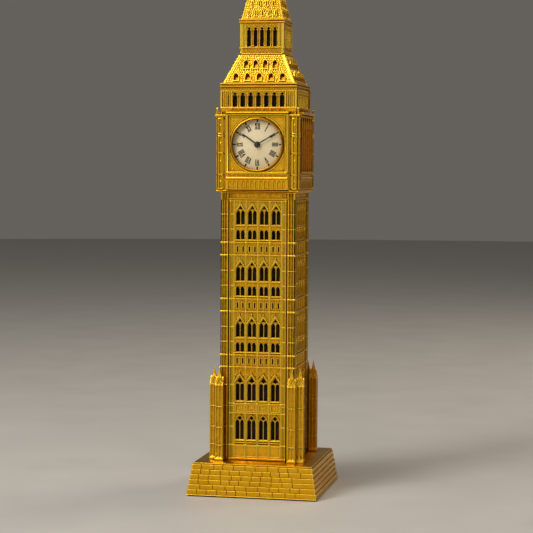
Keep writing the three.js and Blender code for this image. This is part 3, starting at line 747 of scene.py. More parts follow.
def corner_pier():
    """Square pier with ribs down both outer faces, bands and thin cross lines."""
    pier = Casting()
    inner, outer = PIER_INNER, PIER_OUTER
    core = outer - 0.8
    height = (SHAFT_BOTTOM, SHAFT_TOP)
    pier.block((inner, core), (inner, core), height)
    for rib in ((inner, inner + 0.7), (inner + 1.85, inner + 2.2), (outer - 0.7, outer)):
        pier.block(rib, (core - 0.1, outer), height)
        pier.block((core - 0.1, outer), rib, height)
    half = (outer - inner) / 2 + 0.1
    for z in BANDS:
        pier.turned([
            (half - 0.2, -0.5), (half, -0.3), (half, 0.3), (half - 0.2, 0.5),
        ], 4, inner + half, inner + half, z)
    for z in CROSS_LINES:
        pier.block((inner, outer + 0.03), (inner, outer + 0.03), (z - 0.16, z + 0.16))
    return pier


def pinnacled_shaft(casting, x, d):
    """One ribbed shaft of a buttress, with a moulded foot, gablets and a crocketed spirelet."""
    bottom, top, _ = span("buttress_front_right")
    core, rib, half = 1.45, 0.56, 2.1
    neck = 58.7
    casting.turned([
        (2.3, bottom), (2.3, bottom + 0.8), (2.15, bottom + 1.3), (core, bottom + 2.2), (core, neck + 0.6),
    ], 4, x, d)
    corner = half - rib / 2
    for rib_x in (x - corner, x + corner):
        for rib_d in (d - corner, d + corner):
            casting.post(rib / 2, bottom + 1.2, neck + 0.4, 4, rib_x, rib_d)
    for across, along in ((0.17, half - 0.1), (half - 0.1, 0.17)):
        casting.block((x - across, x + across), (d - along, d + along), (bottom + 1.2, neck + 0.3))
    for z in (26.4, 36.0, 47.2):
        casting.post(half, z - 0.16, z + 0.16, 4, x, d)
    casting.turned([
        (half - 0.2, -0.35), (half + 0.12, -0.15), (half + 0.12, 0.15), (half - 0.2, 0.4),
    ], 4, x, d, neck)
    casting.turned([
        (half - 0.35, neck), (half - 0.45, neck + 2.6), (1.2, neck + 4.2), (0.72, neck + 5.8),
        (0.38, neck + 7.6), (0.14, top - 0.7),
    ], 4, x, d)
    gable = chevron(0, neck + 0.3, neck + 4.4, half - 0.1, 0.5)
    for side in (-1, 1):
        near, far = side * (half - 0.1), side * (half - 0.75)
        casting.between([(x + u, d + near, z) for u, z in gable], [(x + u, d + far, z) for u, z in gable])
        casting.between([(x + near, d + u, z) for u, z in gable], [(x + far, d + u, z) for u, z in gable])
    casting.turned([(0.13, -1.2), (0.26, -0.9), (0.26, -0.6), (0.05, 0.0)], 6, x, d, top)
    for rise, out in ((4.9, 0.95), (6.2, 0.66), (7.4, 0.45)):
        for crocket_x, crocket_d in circle(x, d, out, 4):
            casting.turned([(0.06, -0.3), (0.2, 0.0), (0.06, 0.4)], 4, crocket_x, crocket_d, neck + rise)


def buttress():
    """Two pinnacled shafts side by side at a corner, with a small gable between their feet."""
    casting = Casting()
    near, far = 19.7, 23.5
    pinnacled_shaft(casting, near, far)
    pinnacled_shaft(casting, far, near)
    foot = SHAFT_BOTTOM
    casting.prism([(far - 1.9, foot), (far + 1.9, foot), (far, foot + 4.4)], near + 1.6, near + 2.35)
    return casting


def shaft_corbel():
    """Frieze between the piers' last ribs, under a small cove and the stage's lowest moulding."""
    low, high, wide = span("shaft_corbel")
    shaft, cove = PIER_OUTER, 1.9
    casting = Casting(shaft - 0.9)
    frieze = casting.face
    casting.block((-16.0, 16.0), (frieze - 1.0, shaft + 0.1), (low, low + 0.7))
    for x in BAY_EDGES + [-14.9, 14.9]:
        casting.rib(x, 0.2, 0.45, low, high - cove + 0.4, sink=0.5)
    for x in spaced(16, 1.85):
        casting.stud(x, low + 1.9, 0.45, 0.35, 4)
    for side in (-1, 1):
        for centre, half in ((16.4, 0.35), (18.0, 0.2), (19.1, 0.2)):
            casting.rib(side * centre, half, shaft - frieze, low, high - cove + 0.6, sink=0.0)
    casting.four_ways()
    corner = shaft - 0.4
    for x in (-corner, corner):
        for d in (-corner, corner):
            casting.post(0.4, low, high - 1.0, 4, x, d)
    profile = [(frieze, low), (frieze, high - cove)]
    for i in range(5):
        angle = math.pi / 2 * i / 4
        out = shaft + (wide - shaft) * (1 - math.cos(angle))
        profile.append((out, high - cove + (cove - 0.8) * math.sin(angle)))
    casting.turned(profile + [(wide, high - 0.35), (wide - 0.25, high)])
    return casting


# ---------------------------------------------------------------- clock stage

FLUTE_PITCH = 2.42


def stage_foot(panel):
    """Blind arcade and mouldings across the foot of a stage panel."""
    low = PANEL_BOTTOM
    flutes = [arch(x, low + 0.5, low + 3.6, low + 4.8, 0.86, 3) for x in spaced(13, FLUTE_PITCH)]
    panel.raised(rectangle(-16.8, low, 16.8, low + 5.3), 0.45, flutes)
    panel.moulding(16.6, low + 5.2, [(-0.3, 0.0), (0.9, 0.3), (0.9, 1.0), (0.6, 1.5), (-0.3, 1.7)])
    for x in spaced(14, FLUTE_PITCH):
        panel.stud(x, low + 7.6, 0.5, 0.4, 4)
    panel.moulding(16.4, low + 8.3, [(-0.3, 0.0), (1.2, 0.3), (1.35, 0.8), (1.2, 1.15), (-0.3, 1.3)])


def spandrel_arc(radius, width, half, quarter, steps=10):
    """Strip of a ring about the clock's centre, cut where it meets the square frame."""
    spare = math.acos(half / (radius + width)) + 0.01
    outer, inner = [], []
    for i in range(steps + 1):
        angle = quarter * math.pi / 2 + spare + (math.pi / 2 - 2 * spare) * i / steps
        for loop, r in ((outer, radius + width), (inner, radius)):
            loop.append((r * math.cos(angle), CLOCK_Z + r * math.sin(angle)))
    return outer + inner[::-1]


def clock_panel():
    """Front of the clock stage: square frame, spandrels with a ring, and the clock's bore."""
    panel = Casting(23.2)
    back = depths("clock_panel_front")[1]
    low, high, half = PANEL_BOTTOM, PANEL_TOP, PANEL_HALF
    bore = circle(0, CLOCK_Z, 13.95, 96)
    panel.plate(rectangle(-half, low, half, high), [bore], back, panel.face)
    stage_foot(panel)
    for outer, width, proud in ((16.6, 0.45, 0.55), (16.1, 0.5, 0.95), (15.15, 0.4, 0.55)):
        inner = outer - width
        hole = rectangle(-inner, CLOCK_Z - inner + 0.3, inner, CLOCK_Z + inner - 0.3)
        foot, head = max(low + 9.2, CLOCK_Z - outer + 0.3), min(high, CLOCK_Z + outer - 0.3)
        panel.raised(rectangle(-outer, foot, outer, head), proud, [hole])
    for radius, width, proud in ((14.95, 0.5, 0.3), (16.1, 0.3, 0.2)):
        for quarter in range(4):
            panel.raised(spandrel_arc(radius, width, 14.7, quarter), proud, sink=0.1)
    for side in (-1, 1):
        panel.rib(side * 16.75, 0.22, 0.5, low + 9.5, high)
        for z in (CLOCK_Z - 13.0, CLOCK_Z + 13.0):
            panel.stud(side * 13.2, z, 0.6, 0.35, 8)
    return panel


def stage_panel():
    """Panel of the other three sides: five tall blind lights over the same foot."""
    face = 22.0
    low, high, half = PANEL_BOTTOM, PANEL_TOP, PANEL_HALF
    sill, spring, apex = low + 10.6, low + 32.6, low + 37.0
    panel = Casting(face - 0.1)
    panel.block((-half, half), (19.6, face - 0.6), (low, high))
    panel.block((-half, half), (19.8, face - 0.05), (low, low + 9.8))
    stage_foot(panel)
    panel.face = face
    lights = spaced(5, 6.1)
    openings = [arch(x, sill, spring, apex, 2.45, 5) for x in lights]
    panel.raised(rectangle(-16.9, low + 9.4, 16.9, high), 0.0, openings, sink=0.7)
    for x in lights:
        panel.post(0.22, sill, spring + 1.5, 6, x, face - 0.6)
        for centre in (x - 1.22, x + 1.22):
            panel.raised(arch_hood(centre, spring - 1.4, spring + 0.3, 1.0, 0.25), -0.25, sink=0.8)
        panel.stud(x, spring + 2.2, 0.55, -0.25, 8, sink=0.8)
        panel.raised(arch_hood(x, spring, apex, 2.45, 0.3), 0.3)
    for x in spaced(6, 6.1):
        panel.rib(x, 0.32, 0.95, low + 9.6, high - 0.6)
    panel.sill(16.8, high - 0.9, 0.8, 0.9)
    return panel


def corner_turret():
    """Octagonal turret with a shaft on every corner, cross bands, a square cap and a post."""
    casting = Casting()
    low, top, outer = span("corner_turret_front_right")
    centre, cap_low, cap_top = 20.0, 201.9, PANEL_TOP
    core, reach, flat = 2.1, 2.45, 2.15
    casting.post(core, low, cap_low + 0.3, 8, centre, centre)
    for x, d in circle(centre, centre, reach, 8, 0.5):
        casting.post(0.29, low, cap_low, 4, x, d)
    nook = 17.02
    casting.block((nook, centre), (nook, centre + 1.7), (low, cap_low + 0.3))
    casting.block((nook, centre + 1.7), (nook, centre), (low, cap_low + 0.3))
    for x, d in ((nook + 0.24, centre + flat), (centre + flat, nook + 0.24)):
        casting.post(0.22, low, cap_low, 4, x, d)
    for half, heights in ((2.95, (163.7, 182.7)), (3.0, (171.2,)), (2.85, (191.7, 193.0, 200.9))):
        for z in heights:
            casting.turned([(core, -0.5), (half, -0.28), (half, 0.28), (core, 0.5)], 8, centre, centre, z)
    for x, d in circle(centre, centre, flat, 4):
        for z in (167.6, 178.6, 188.0, 197.5):
            casting.turned([(0.1, -0.6), (0.4, 0.0), (0.1, 0.6)], 4, x, d, z)
    casting.turned([
        (2.5, cap_low), (2.9, cap_low + 0.25), (3.0, cap_low + 0.5), (3.0, cap_top - 0.25), (2.8, cap_top),
    ], 4, centre, centre)
    post = outer - 1.1
    casting.turned([
        (0.42, cap_top - 0.2), (0.42, top - 1.2), (0.58, top - 1.0), (0.58, top - 0.4), (0.3, top),
    ], 4, post, post)
    casting.turned([(0.8, -0.2), (1.1, 0.3), (0.5, 0.9), (0.1, 1.5)], 8, centre, centre, cap_top)
    return casting


def stage_cornice():
    """Moulding over the four panels, round a slab that closes the stage."""
    casting = Casting()
    low, high, reach = span("stage_cornice")
    inner, height = 16.9, high - low
    casting.moulding(16.95, low, [
        (inner, 0.0), (23.3, 0.0), (23.5, 0.25), (reach, 0.45), (reach, height - 0.25),
        (reach - 0.3, height), (inner, height),
    ])
    casting.four_ways()
    casting.block((-19.8, 19.8), (-19.8, 19.8), (low + 0.02, high))
    return casting


# ---------------------------------------------------------------- belfry and lantern

BELFRY_LIGHTS = spaced(7, 4.27)
BELFRY_RIBS = (  # centre, half width and height above the face
    (14.75, 0.35, 0.55), (15.9, 0.2, 0.35), (17.0, 0.3, 0.5),
    (18.1, 0.2, 0.35), (19.1, 0.2, 0.35), (20.1, 0.3, 0.6),
)
LANTERN_LIGHTS = spaced(5, 3.55)
LANTERN_RIBS = ((8.95, 0.25, 0.3), (9.75, 0.3, 0.4), (10.65, 0.2, 0.25), (11.5, 0.38, 0.4))


def cusped_lights(panel, centres, foot, spring, apex, half):
    """Paired colonnettes, hoods and cusps of a row of arched openings."""
    shaft = 0.22
    colonnette = [
        (shaft + 0.16, foot), (shaft + 0.16, foot + 0.3), (shaft, foot + 0.5), (shaft, spring - 0.7),
        (shaft + 0.2, spring - 0.35), (shaft + 0.2, spring),
    ]
    cusp = [
        (half + 0.05, spring - 0.1), (half + 0.05, spring + 0.45), (half * 0.5, spring + 0.55),
        (half * 0.25, spring + 0.15), (half * 0.55, spring + 0.2),
    ]
    for x in centres:
        for side in (-1, 1):
            panel.turned(colonnette, 6, x + side * (half + 0.26), panel.face + 0.2)
            panel.raised([(x + side * u, z) for u, z in cusp], 0.0, sink=0.6)
        panel.raised(arch_hood(x, spring, apex, half + 0.1, 0.28), 0.45)


def zigzag(panel, reach, z0, z1, pitch):
    """Row of small chevrons between two heights."""
    for x in spaced(int(2 * reach / pitch), pitch):
        panel.raised(chevron(x, z0, z1, pitch / 2, 0.3), 0.35)


def belfry_arcade(reach):
    """Arcade wall: panelled base, seven cusped openings, a zigzag frieze and ribbed ends."""
    low, high, outer = span("belfry_arcade_front")
    foot, spring, apex, half = low + 2.6, low + 8.6, low + 10.4, 1.25
    ledge = low + 2.5
    panel = Casting(outer - 0.6)
    openings = [arch(x, foot, spring, apex, half, 4) for x in BELFRY_LIGHTS]
    openings += [arch(x, low + 3.0, low + 8.5, low + 9.1, 0.27, 2) for x in (-16.45, 16.45)]
    base_panels = [rectangle(x - 1.55, low + 0.45, x + 1.55, low + 1.65) for x in BELFRY_LIGHTS]
    panel.raised(rectangle(-reach, low, reach, high), 0.0, openings, sink=1.0)
    panel.raised(rectangle(-reach, low, reach, low + 1.9), 0.5, base_panels)
    panel.moulding(reach, low + 1.6, [(-0.3, 0.0), (0.8, 0.2), (0.95, 0.5), (0.8, 0.85), (-0.3, 1.05)])
    cusped_lights(panel, BELFRY_LIGHTS, foot, spring, apex, half)
    panel.sill(reach, low + 11.0, 0.5, 0.35)
    zigzag(panel, reach, low + 11.3, low + 12.5, 1.45)
    for side in (-1, 1):
        for centre, width, proud in BELFRY_RIBS:
            if centre + width <= reach:
                panel.rib(side * centre, width, proud, ledge, low + 10.9)
                panel.stud(side * centre, low + 9.9, width + 0.12, proud + 0.12, 4, sink=0.0)
    if reach == outer:
        for side in (-1, 1):
            end = side * outer
            for d in (18.25, 20.1):
                panel.block((end - 0.3, end + 0.3), (d - 0.25, d + 0.25), (ledge, low + 12.6))
            panel.block((end - 0.3, end + 0.35), (panel.face - 1.0, panel.face + 0.8), (low + 1.7, ledge))
    return panel


def moulded_cornice(node, inner):
    """Square cornice with two noses and a hollow between them."""
    casting = Casting()
    low, high, wide = span(node)
    casting.turned([
        (inner, low), (wide - 0.25, low + 0.15), (wide, low + 0.4), (wide, low + 0.75),
        (inner + 0.25, low + 1.0), (inner + 0.1, high - 1.15), (wide - 0.15, high - 0.85),
        (wide, high - 0.6), (wide, high - 0.2), (wide - 0.3, high),
    ])
    return casting


def lantern_arcade():
    """Square lantern: banded base with a zigzag frieze and five cusped openings a side."""
    low, high, _ = span("lantern_arcade")
    reach = 11.6
    ledge, spring, apex = low + 4.3, low + 13.1, low + 14.8
    side = Casting(11.55)
    openings = [arch(x, ledge + 0.1, spring, apex, 1.0, 4) for x in LANTERN_LIGHTS]
    side.raised(rectangle(-reach, low, reach, high), 0.0, openings, sink=0.95)
    side.moulding(12.2, low, [(-0.55, 0.0), (0.65, 0.1), (0.65, 0.7), (0.25, 0.95), (-0.55, 1.0)])
    zigzag(side, reach, low + 1.2, low + 3.1, 1.9)
    side.moulding(12.3, low + 3.3, [(-0.55, 0.0), (0.55, 0.15), (0.75, 0.4), (0.65, 0.8), (-0.55, 1.0)])
    cusped_lights(side, LANTERN_LIGHTS, ledge, spring, apex, 1.0)
    zigzag(side, 8.9, low + 14.7, low + 16.4, 1.77)
    for x_side in (-1, 1):
        for centre, width, proud in LANTERN_RIBS:
            side.rib(x_side * centre, width, proud, low + 4.1, high)
    return side.four_ways()


# ---------------------------------------------------------------- roofs


class Slope:
    """The front slope of a square roof, drawn flat: x across, z up the slope and d above it."""

    def __init__(self, z0, z1, half0, half1):
        self.z0, self.half0 = z0, half0
        self.lean = math.atan2(half0 - half1, z1 - z0)
        self.length = math.hypot(half0 - half1, z1 - z0)

    def half(self, z):
        return self.half0 - z * math.sin(self.lean)

    def point(self, x, d, z):
        return (x, self.half(z) + d * math.cos(self.lean), self.height(z) + d * math.sin(self.lean))

    def height(self, z):
        return self.z0 + z * math.cos(self.lean)

    def lay(self, casting, drawn):
        casting.solid([self.point(*p) for p in drawn.points], drawn.faces)


def tiles(slope, pitch, dice, clear):
    """Staggered rows of small rounded tiles, left out of the `clear` (x, z, half, height) places."""
    drawn = Casting()
    row_height = pitch * 0.82
    first_row, hem, rim_rise = 0.9, 0.7, 0.08
    for row in range(int((slope.length - 0.6) / row_height)):
        row_z = first_row + row * row_height
        reach = slope.half(row_z) - hem
        count = max(2, round(2 * reach / pitch) + row % 2)
        for i in range(count):
            x = -reach + 2 * reach * (i + 0.5) / count + dice.uniform(-0.12, 0.12)
            z = row_z + dice.uniform(-0.1, 0.1)
            size = pitch * dice.uniform(0.38, 0.50)
            height = dice.uniform(0.26, 0.44)
            if any(abs(x - cx) < half and -0.5 < z - cz < tall for cx, cz, half, tall in clear):
                continue
            rim = circle(x, z, size, 6)
            crown = circle(x, z, size * 0.5, 6)
            drawn.prism(rim, -0.3, rim_rise)
            drawn.between([(u, height, v) for u, v in crown], [(u, rim_rise, v) for u, v in rim])
    return drawn


def hip_rib(casting, slope, width, studs):
    """Roll along the right hip, with small crockets."""
    ends = []
    for z, w in ((0.0, width * 0.7), (slope.length, width * 0.75 * 0.7)):
        half = slope.half(z)
        square = ((-w, -w), (w, -w), (w, w), (-w, w))
        ends.append([(half + u, half + v, slope.height(z)) for u, v in square])
    casting.between(*ends)
    for i in range(studs):
        z = slope.length * (i + 0.6) / studs
        out = slope.half(z) + width * 0.6
        casting.turned([(0.12, -0.35), (width * 0.62, 0.0), (0.1, 0.5)], 4, out, out, slope.height(z))


def dormer_niche(x, foot, width, height):
    """Outline of the niche in a dormer, which goes on into the roof's skin."""
    return arch(x, foot + 0.35, foot + height * 0.52, foot + height * 0.84, width * 0.37, 3)


def dormer(x, foot, width, height):
    """Small gabled dormer that leans out of the slope, with an arched niche in it."""
    drawn = Casting()
    half = width / 2
    outline = gabled(x, foot, foot + height * 0.62, foot + height, half)
    drawn.plate(outline, [dormer_niche(x, foot, width, height)], -0.4, 0.65)
    drawn.prism(chevron(x, foot + height * 0.52, foot + height + 0.25, half + 0.2, 0.24), 0.1, 0.85)
    drawn.block((x - half - 0.1, x + half + 0.1), (-0.3, 0.85), (foot - 0.15, foot + 0.25))
    drawn.points = [(u, d + 0.16 * (z - foot) if d > 0 else d, z) for u, d, z in drawn.points]
    return drawn


def lucarne(x, foot, height):
    """Narrow slit between two jambs under a little gable."""
    drawn = Casting()
    head, half = foot + height, 0.8
    for side in (-1, 1):
        drawn.block((x + side * 0.52 - 0.2, x + side * 0.52 + 0.2), (-0.2, 0.75), (foot, head))
    drawn.prism([(x - half, head - 0.2), (x + half, head - 0.2), (x, head + 0.9)], -0.2, 0.85)
    drawn.block((x - half, x + half), (-0.2, 0.8), (foot - 0.3, foot))
    return drawn


def lower_roof():
    """Tiled slopes with two rows of dormers on each side."""
    low, high, _ = span("lower_roof")
    casting = Casting(18.3)
    slope = Slope(low, high, 18.9, 12.0)
    dormers = [(x, 0.8, 3.5, 5.0) for x in spaced(5, 6.3)] + [(x, 8.0, 3.2, 5.8) for x in spaced(4, 5.2)]
    clear = [(x, foot, width * 0.62, height * 0.95) for x, foot, width, height in dormers]
    slope.lay(casting, tiles(slope, 1.3, random.Random(7), clear))
    hip_rib(casting, slope, 0.5, 9)
    for spot in dormers:
        slope.lay(casting, dormer(*spot))
    skin = Casting()
    eaves, ridge = slope.half(0), slope.half(slope.length)
    outline = [(-eaves, 0), (eaves, 0), (ridge, slope.length), (-ridge, slope.length)]
    skin.plate(outline, [dormer_niche(*spot) for spot in dormers], -1.2, -0.15)
    slope.lay(casting, skin)
    casting.sill(18.6, low + 0.35, 0.7, 0.6)
    casting.four_ways()
    casting.turned([(17.9, low), (11.0, high - 0.1)])
    return casting


def upper_roof():
    """Steep tiled spire with rows of narrow lucarnes, fewer in each row up."""
    low, high, outer = span("upper_roof")
    casting = Casting(10.6)
    slope = Slope(low, high, outer - 0.15, 3.0)
    rows = ((5, 3.65, 1.5, 3.0), (4, 3.9, 6.8, 2.8), (3, 3.6, 12.4, 2.4), (2, 3.4, 18.4, 2.2))
    slits = [(x, foot, height) for count, pitch, foot, height in rows for x in spaced(count, pitch)]
    clear = [(x, foot, 0.7, height) for x, foot, height in slits]
    slope.lay(casting, tiles(slope, 1.25, random.Random(8), clear))
    hip_rib(casting, slope, 0.4, 16)
    for spot in slits:
        slope.lay(casting, lucarne(*spot))
    casting.sill(11.0, low + 0.3, 0.6, 0.5)
    casting.four_ways()
    casting.turned([(10.9, low), (2.9, high - 0.05)])
    return casting


def finial():
    """Square foot with four crockets, a turned vase, a ball and a spike."""
    casting = Casting()
    low, high, _ = span("finial")
    casting.turned([(3.3, 0.0), (3.4, 0.3), (3.3, 0.7), (2.7, 1.2)], foot=low)
    profile = [
        (2.6, 1.0), (2.35, 2.0), (2.25, 4.2), (2.5, 5.0), (3.0, 5.5), (3.05, 6.1),
        (2.5, 6.8), (1.5, 7.8), (1.2, 8.8), (1.3, 9.6),
    ]
    ball, ball_rise = 2.85, 12.6
    for i in range(9):
        angle = math.radians(-62 + 124 * i / 8)
        profile.append((ball * math.cos(angle), ball_rise + ball * math.sin(angle)))
    profile += [
        (1.1, 15.5), (0.95, 17.0), (1.25, 17.5), (1.2, 18.0), (0.75, 18.8),
        (0.2, high - low - 0.3), (0.06, high - low),
    ]
    casting.turned(profile, 24, foot=low)
    for x, d in circle(0, 0, 2.9, 4, 0.5):
        casting.turned([(0.1, 1.0), (0.5, 1.8), (0.45, 2.6), (0.08, 4.4)], 6, x, d, low)
    return casting


# ---------------------------------------------------------------- clock

HOUR_ANGLE = 305.0
MINUTE_ANGLE = 60.0
NUMERALS = ("XII", "I", "II", "III", "IIII", "V", "VI", "VII", "VIII", "IX", "X", "XI")
LETTER_WIDTHS = {"I": 0.74, "V": 1.5, "X": 1.5}


def dial_point(u, r, degrees):
    """Point of the dial u to the right of the radius at that clock angle, r from the centre."""
    a = math.radians(degrees)
    return (u * math.cos(a) + r * math.sin(a), CLOCK_Z + r * math.cos(a) - u * math.sin(a))


def printed(casting, outline, degrees):
    """Thin printed shape on the dial, from its (u, r) outline at a clock angle."""
    casting.raised([dial_point(u, r, degrees) for u, r in outline], 0.035, sink=0.02)


def stroke(casting, degrees, start, end, width):
    """Straight printed line between two (u, r) points."""
    (u0, r0), (u1, r1) = start, end
    share = width / 2 / math.hypot(u1 - u0, r1 - r0)
    du, dr = (r1 - r0) * share, (u0 - u1) * share
    outline = [(u0 - du, r0 - dr), (u1 - du, r1 - dr), (u1 + du, r1 + dr), (u0 + du, r0 + dr)]
    printed(casting, outline, degrees)


def numeral(casting, text, degrees, foot, head):
    """Roman numeral with its feet towards the centre."""
    thick, thin, serif = 0.5, 0.34, 0.28
    left = -sum(LETTER_WIDTHS[letter] for letter in text) / 2
    for letter in text:
        right = left + LETTER_WIDTHS[letter]
        middle = (left + right) / 2
        inset = 0.0
        if letter == "I":
            inset = 0.05
            stroke(casting, degrees, (middle, foot), (middle, head), 0.52)
        elif letter == "V":
            stroke(casting, degrees, (middle, foot), (left + 0.25, head), thick)
            stroke(casting, degrees, (middle, foot), (right - 0.2, head), thin)
        else:
            stroke(casting, degrees, (left + 0.25, head), (right - 0.25, foot), thick)
            stroke(casting, degrees, (left + 0.2, foot), (right - 0.2, head), thin)
        stroke(casting, degrees, (left + inset, head - 0.08), (right - inset, head - 0.1), serif)
        if letter != "V":
            stroke(casting, degrees, (left + inset, foot + 0.08), (right - inset, foot + 0.1), serif)
        left = right


def dial_print():
    """Numerals, hour marks and minute ticks."""
    casting = Casting(depths("clock_dial")[0])
    for hour, text in enumerate(NUMERALS):
        numeral(casting, text, 30 * hour, 8.0, 11.2)
        printed(casting, [(-0.4, 11.7), (0.4, 11.7), (0.46, 13.28), (-0.46, 13.28)], 30 * hour)
    for minute in range(60):
        if minute % 5:
            printed(casting, [(-0.07, 12.5), (0.07, 12.5), (0.08, 13.2), (-0.08, 13.2)], 6 * minute)
    return casting


def clock_dial():
    """Thin dial plate with a hole for the arbors."""
    casting = Casting()
    front, back = depths("clock_dial")
    casting.hoop([
        (1.6, back), (1.6, front - 0.05), (1.65, front), (13.2, front), (13.3, front - 0.08), (13.3, back),
    ])
    return casting


def clock_bezel():
    """Rolled bright rim with a step and the skirt that holds the dial."""
    casting = Casting()
    front, back = depths("clock_bezel")
    casting.hoop([
        (13.4, back), (13.4, front - 0.35), (13.5, front - 0.12), (13.7, front), (13.95, front - 0.05),
        (14.15, front - 0.3), (14.2, front - 0.7), (14.4, front - 0.9), (14.4, front - 1.9),
        (14.3, front - 2.05), (13.75, front - 2.05), (13.75, back),
    ], 128)
    return casting


def clock_lens():
    """Slightly domed glass."""
    casting = Casting()
    front, back = depths("clock_lens")
    casting.disc([
        (13.3, back), (13.3, front - 0.25), (13.1, front - 0.17), (10.0, front - 0.08),
        (5.0, front - 0.02), (0.4, front),
    ], 96)
    return casting


def hand(node, blade, hub, hole, degrees):
    """A pressed hand: blade with a soft ridge, from the (u, r) points of its right edge, and a hub."""
    casting = Casting()
    front, back = depths(node)
    outline = blade + [(-u, r) for u, r in reversed(blade)]
    ridge, shoulder, foot = [
        [(u * share, d, CLOCK_Z + r) for u, r in outline]
        for share, d in ((0.7, front), (1.0, front - 0.06), (1.0, back))
    ]
    casting.between(ridge, shoulder)
    casting.between(shoulder, foot)
    casting.hoop([(hole, back), (hole, front), (hub - 0.15, front), (hub, front - 0.1), (hub, back)], 48)
    drawn = casting.points
    casting.points = []
    for x, d, z in drawn:
        turned_x, turned_z = dial_point(x, z - CLOCK_Z, degrees)
        casting.points.append((turned_x, d, turned_z))
    return casting


def hand_cap():
    """Low dome over the hands' hubs."""
    casting = Casting()
    front, back = depths("hand_cap")
    radius, edge = 1.4, 0.1
    profile = [(radius, back), (radius, back + edge)]
    for i in range(1, 7):
        angle = math.pi / 2 * i / 6.5
        rise = (front - back - edge) * math.sin(angle)
        profile.append((radius * math.cos(angle), back + edge + rise))
    casting.disc(profile, 48)
    return casting


def movement_case():
    """Moulded case with fine ribs along its skirt."""
    casting = Casting()
    front, back = depths("movement_case")
    casting.hoop([
        (12.3, back), (12.3, front), (13.1, front), (13.2, front - 0.1), (13.2, back + 0.15), (13.05, back),
    ])
    casting.disc([(12.35, 18.0), (12.35, 18.6)], 96)
    for x, z in circle(0, CLOCK_Z, 13.1, 36):
        casting.disc([(0.16, back + 0.2), (0.16, back + 3.1)], 6, x, z)
    return casting


def grip_band():
    """Rubber band with three soft lips that grip the bore."""
    casting = Casting()
    front, back = depths("grip_band")
    lips, steps = 3, 24
    profile = [(13.24, back), (13.24, front)]
    for i in range(steps + 1):
        share = i / steps
        radius = 13.62 - 0.16 * math.cos(2 * math.pi * lips * share)
        profile.append((radius, front - (front - back) * share))
    casting.hoop(profile)
    return casting


# ---------------------------------------------------------------- assembly


def build_tower():
    cast(plinth(), "plinth", 0.12)
    cast_round(shaft_wall(), "shaft_wall", SIDES, 0.05)
    cast_round(corner_pier(), "corner_pier", CORNERS, 0.08)
    cast_round(buttress(), "buttress", CORNERS, 0.05)
    cast(shaft_corbel(), "shaft_corbel", 0.12)
    place(mesh_from(clock_panel(), "clock_panel", 0.07), "clock_panel_cast", ["clock_panel_front"])
    cast_round(stage_panel(), "stage_panel", SIDES[1:], 0.06, first_turn=1)
    cast_round(corner_turret(), "corner_turret", CORNERS, 0.06)
    cast(stage_cornice(), "stage_cornice", 0.08)


def build_belfry():
    outer = span("belfry_arcade_front")[2]
    arcades = [mesh_from(belfry_arcade(reach), "belfry_arcade", 0.05) for reach in (outer, outer - 2.5)]
    for turn, side in enumerate(SIDES):
        node = f"belfry_arcade_{side}"
        place(arcades[turn % 2], f"{node}_cast", [node], turn=turn)
    cast(moulded_cornice("belfry_cornice", 20.0), "belfry_cornice", 0.06)
    cast(lower_roof(), "lower_roof", 0.04)
    cast(lantern_arcade(), "lantern_arcade", 0.05)
    cast(moulded_cornice("lantern_cornice", 11.7), "lantern_cornice", 0.06)
    cast(upper_roof(), "upper_roof", 0.04)
    cast(finial(), "finial", 0.0, 40)


def clock_part(drawn, node, name, slot, body, smooth_degrees=40):
    """One piece of the clock, without bevels, which stands for a CAD node."""
    place(mesh_from(drawn, node, 0.0, smooth_degrees), name, [node], slot, body)


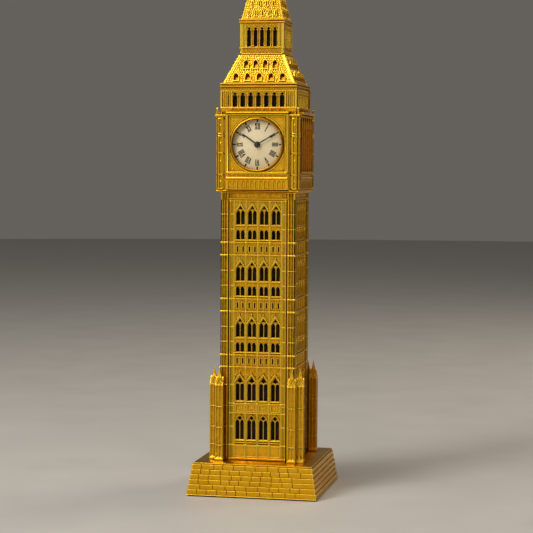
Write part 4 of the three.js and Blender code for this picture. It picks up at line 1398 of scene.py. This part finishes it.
def build_clock():
    insert = "clock_insert"
    clock_part(clock_bezel(), "clock_bezel", "clock_rim", "gilt", insert)
    clock_part(clock_lens(), "clock_lens", "clock_glass", "lens", insert)
    clock_part(clock_dial(), "clock_dial", "dial_plate", "dial", insert)
    place(mesh_from(dial_print(), "dial_print"), "dial_print", [], "hands", insert)
    clock_part(movement_case(), "movement_case", "movement_shell", "black_plastic", insert)
    clock_part(grip_band(), "grip_band", "grip_ring", "rubber", insert, 50)
    blade = [(0.36, 0.8), (0.28, 7.4), (0.42, 7.9), (0.42, 8.3), (0.22, 8.9), (0.13, 11.8)]
    minute = hand("minute_hand", blade, 1.4, 0.55, MINUTE_ANGLE)
    clock_part(minute, "minute_hand", "minute_pointer", "hands", "minute_arbor", 28)
    blade = [(0.38, 1.0), (0.3, 9.3), (0.1, 10.1)]
    hour = hand("hour_hand", blade, 1.6, 1.3, HOUR_ANGLE)
    clock_part(hour, "hour_hand", "hour_pointer", "hands", "hour_arbor", 28)
    clock_part(hand_cap(), "hand_cap", "hub_cap", "hands", "minute_arbor", 50)


build_tower()
build_belfry()
build_clock()
paint_everything()

# ---------------------------------------------------------------- stage and light


def make_floor():
    """Large plain disc that the model stands on."""
    mesh = bpy.data.meshes.new("floor")
    radius_m, segments = 3.2, 96
    rim = [(x, y, 0) for x, y in circle(0, 0, radius_m, segments)]
    mesh.from_pydata(rim, [], [range(segments)])
    floor = bpy.data.objects.new("floor", mesh)
    bpy.context.scene.collection.objects.link(floor)
    material = plain_material("floor", (0.50, 0.49, 0.47), (0.53, 0.52, 0.50), 0.6, grain=0.02, depth=0.0)
    mesh.materials.append(material)


def area_light(name, place_m, aim_m, size, power, colour=(1.0, 1.0, 1.0)):
    data = bpy.data.lights.new(name, "AREA")
    data.shape = "RECTANGLE"
    data.size, data.size_y = size
    data.energy = power
    data.color = colour
    light = bpy.data.objects.new(name, data)
    light.location = place_m
    light.rotation_euler = (Vector(aim_m) - Vector(place_m)).to_track_quat("-Z", "Y").to_euler()
    bpy.context.scene.collection.objects.link(light)


def make_light():
    """A dim warm room and five area lights."""
    world = bpy.data.worlds.new("world")
    world.use_nodes = True
    world.node_tree.nodes["Background"].inputs["Color"].default_value = (0.80, 0.75, 0.68, 1.0)
    world.node_tree.nodes["Background"].inputs["Strength"].default_value = 0.16
    bpy.context.scene.world = world
    aim = (0, 0, 0.16)
    warm = (1.0, 0.96, 0.90)
    amber = (1.0, 0.85, 0.66)
    area_light("overhead", (-0.25, -0.45, 1.15), aim, (0.8, 0.6), 6.5, warm)
    area_light("front_left", (-0.66, -0.90, 0.85), aim, (0.45, 0.6), 10.5, warm)
    area_light("front_fill", (-0.10, -1.40, 0.20), aim, (0.6, 0.4), 0.7, warm)
    area_light("front_right", (0.85, -1.05, 0.30), aim, (0.4, 0.5), 1.6, amber)
    area_light("rear_right", (0.80, 0.70, 0.70), aim, (0.5, 0.5), 5.0, amber)


make_floor()
make_light()
bpy.context.scene.view_settings.view_transform = "Standard"
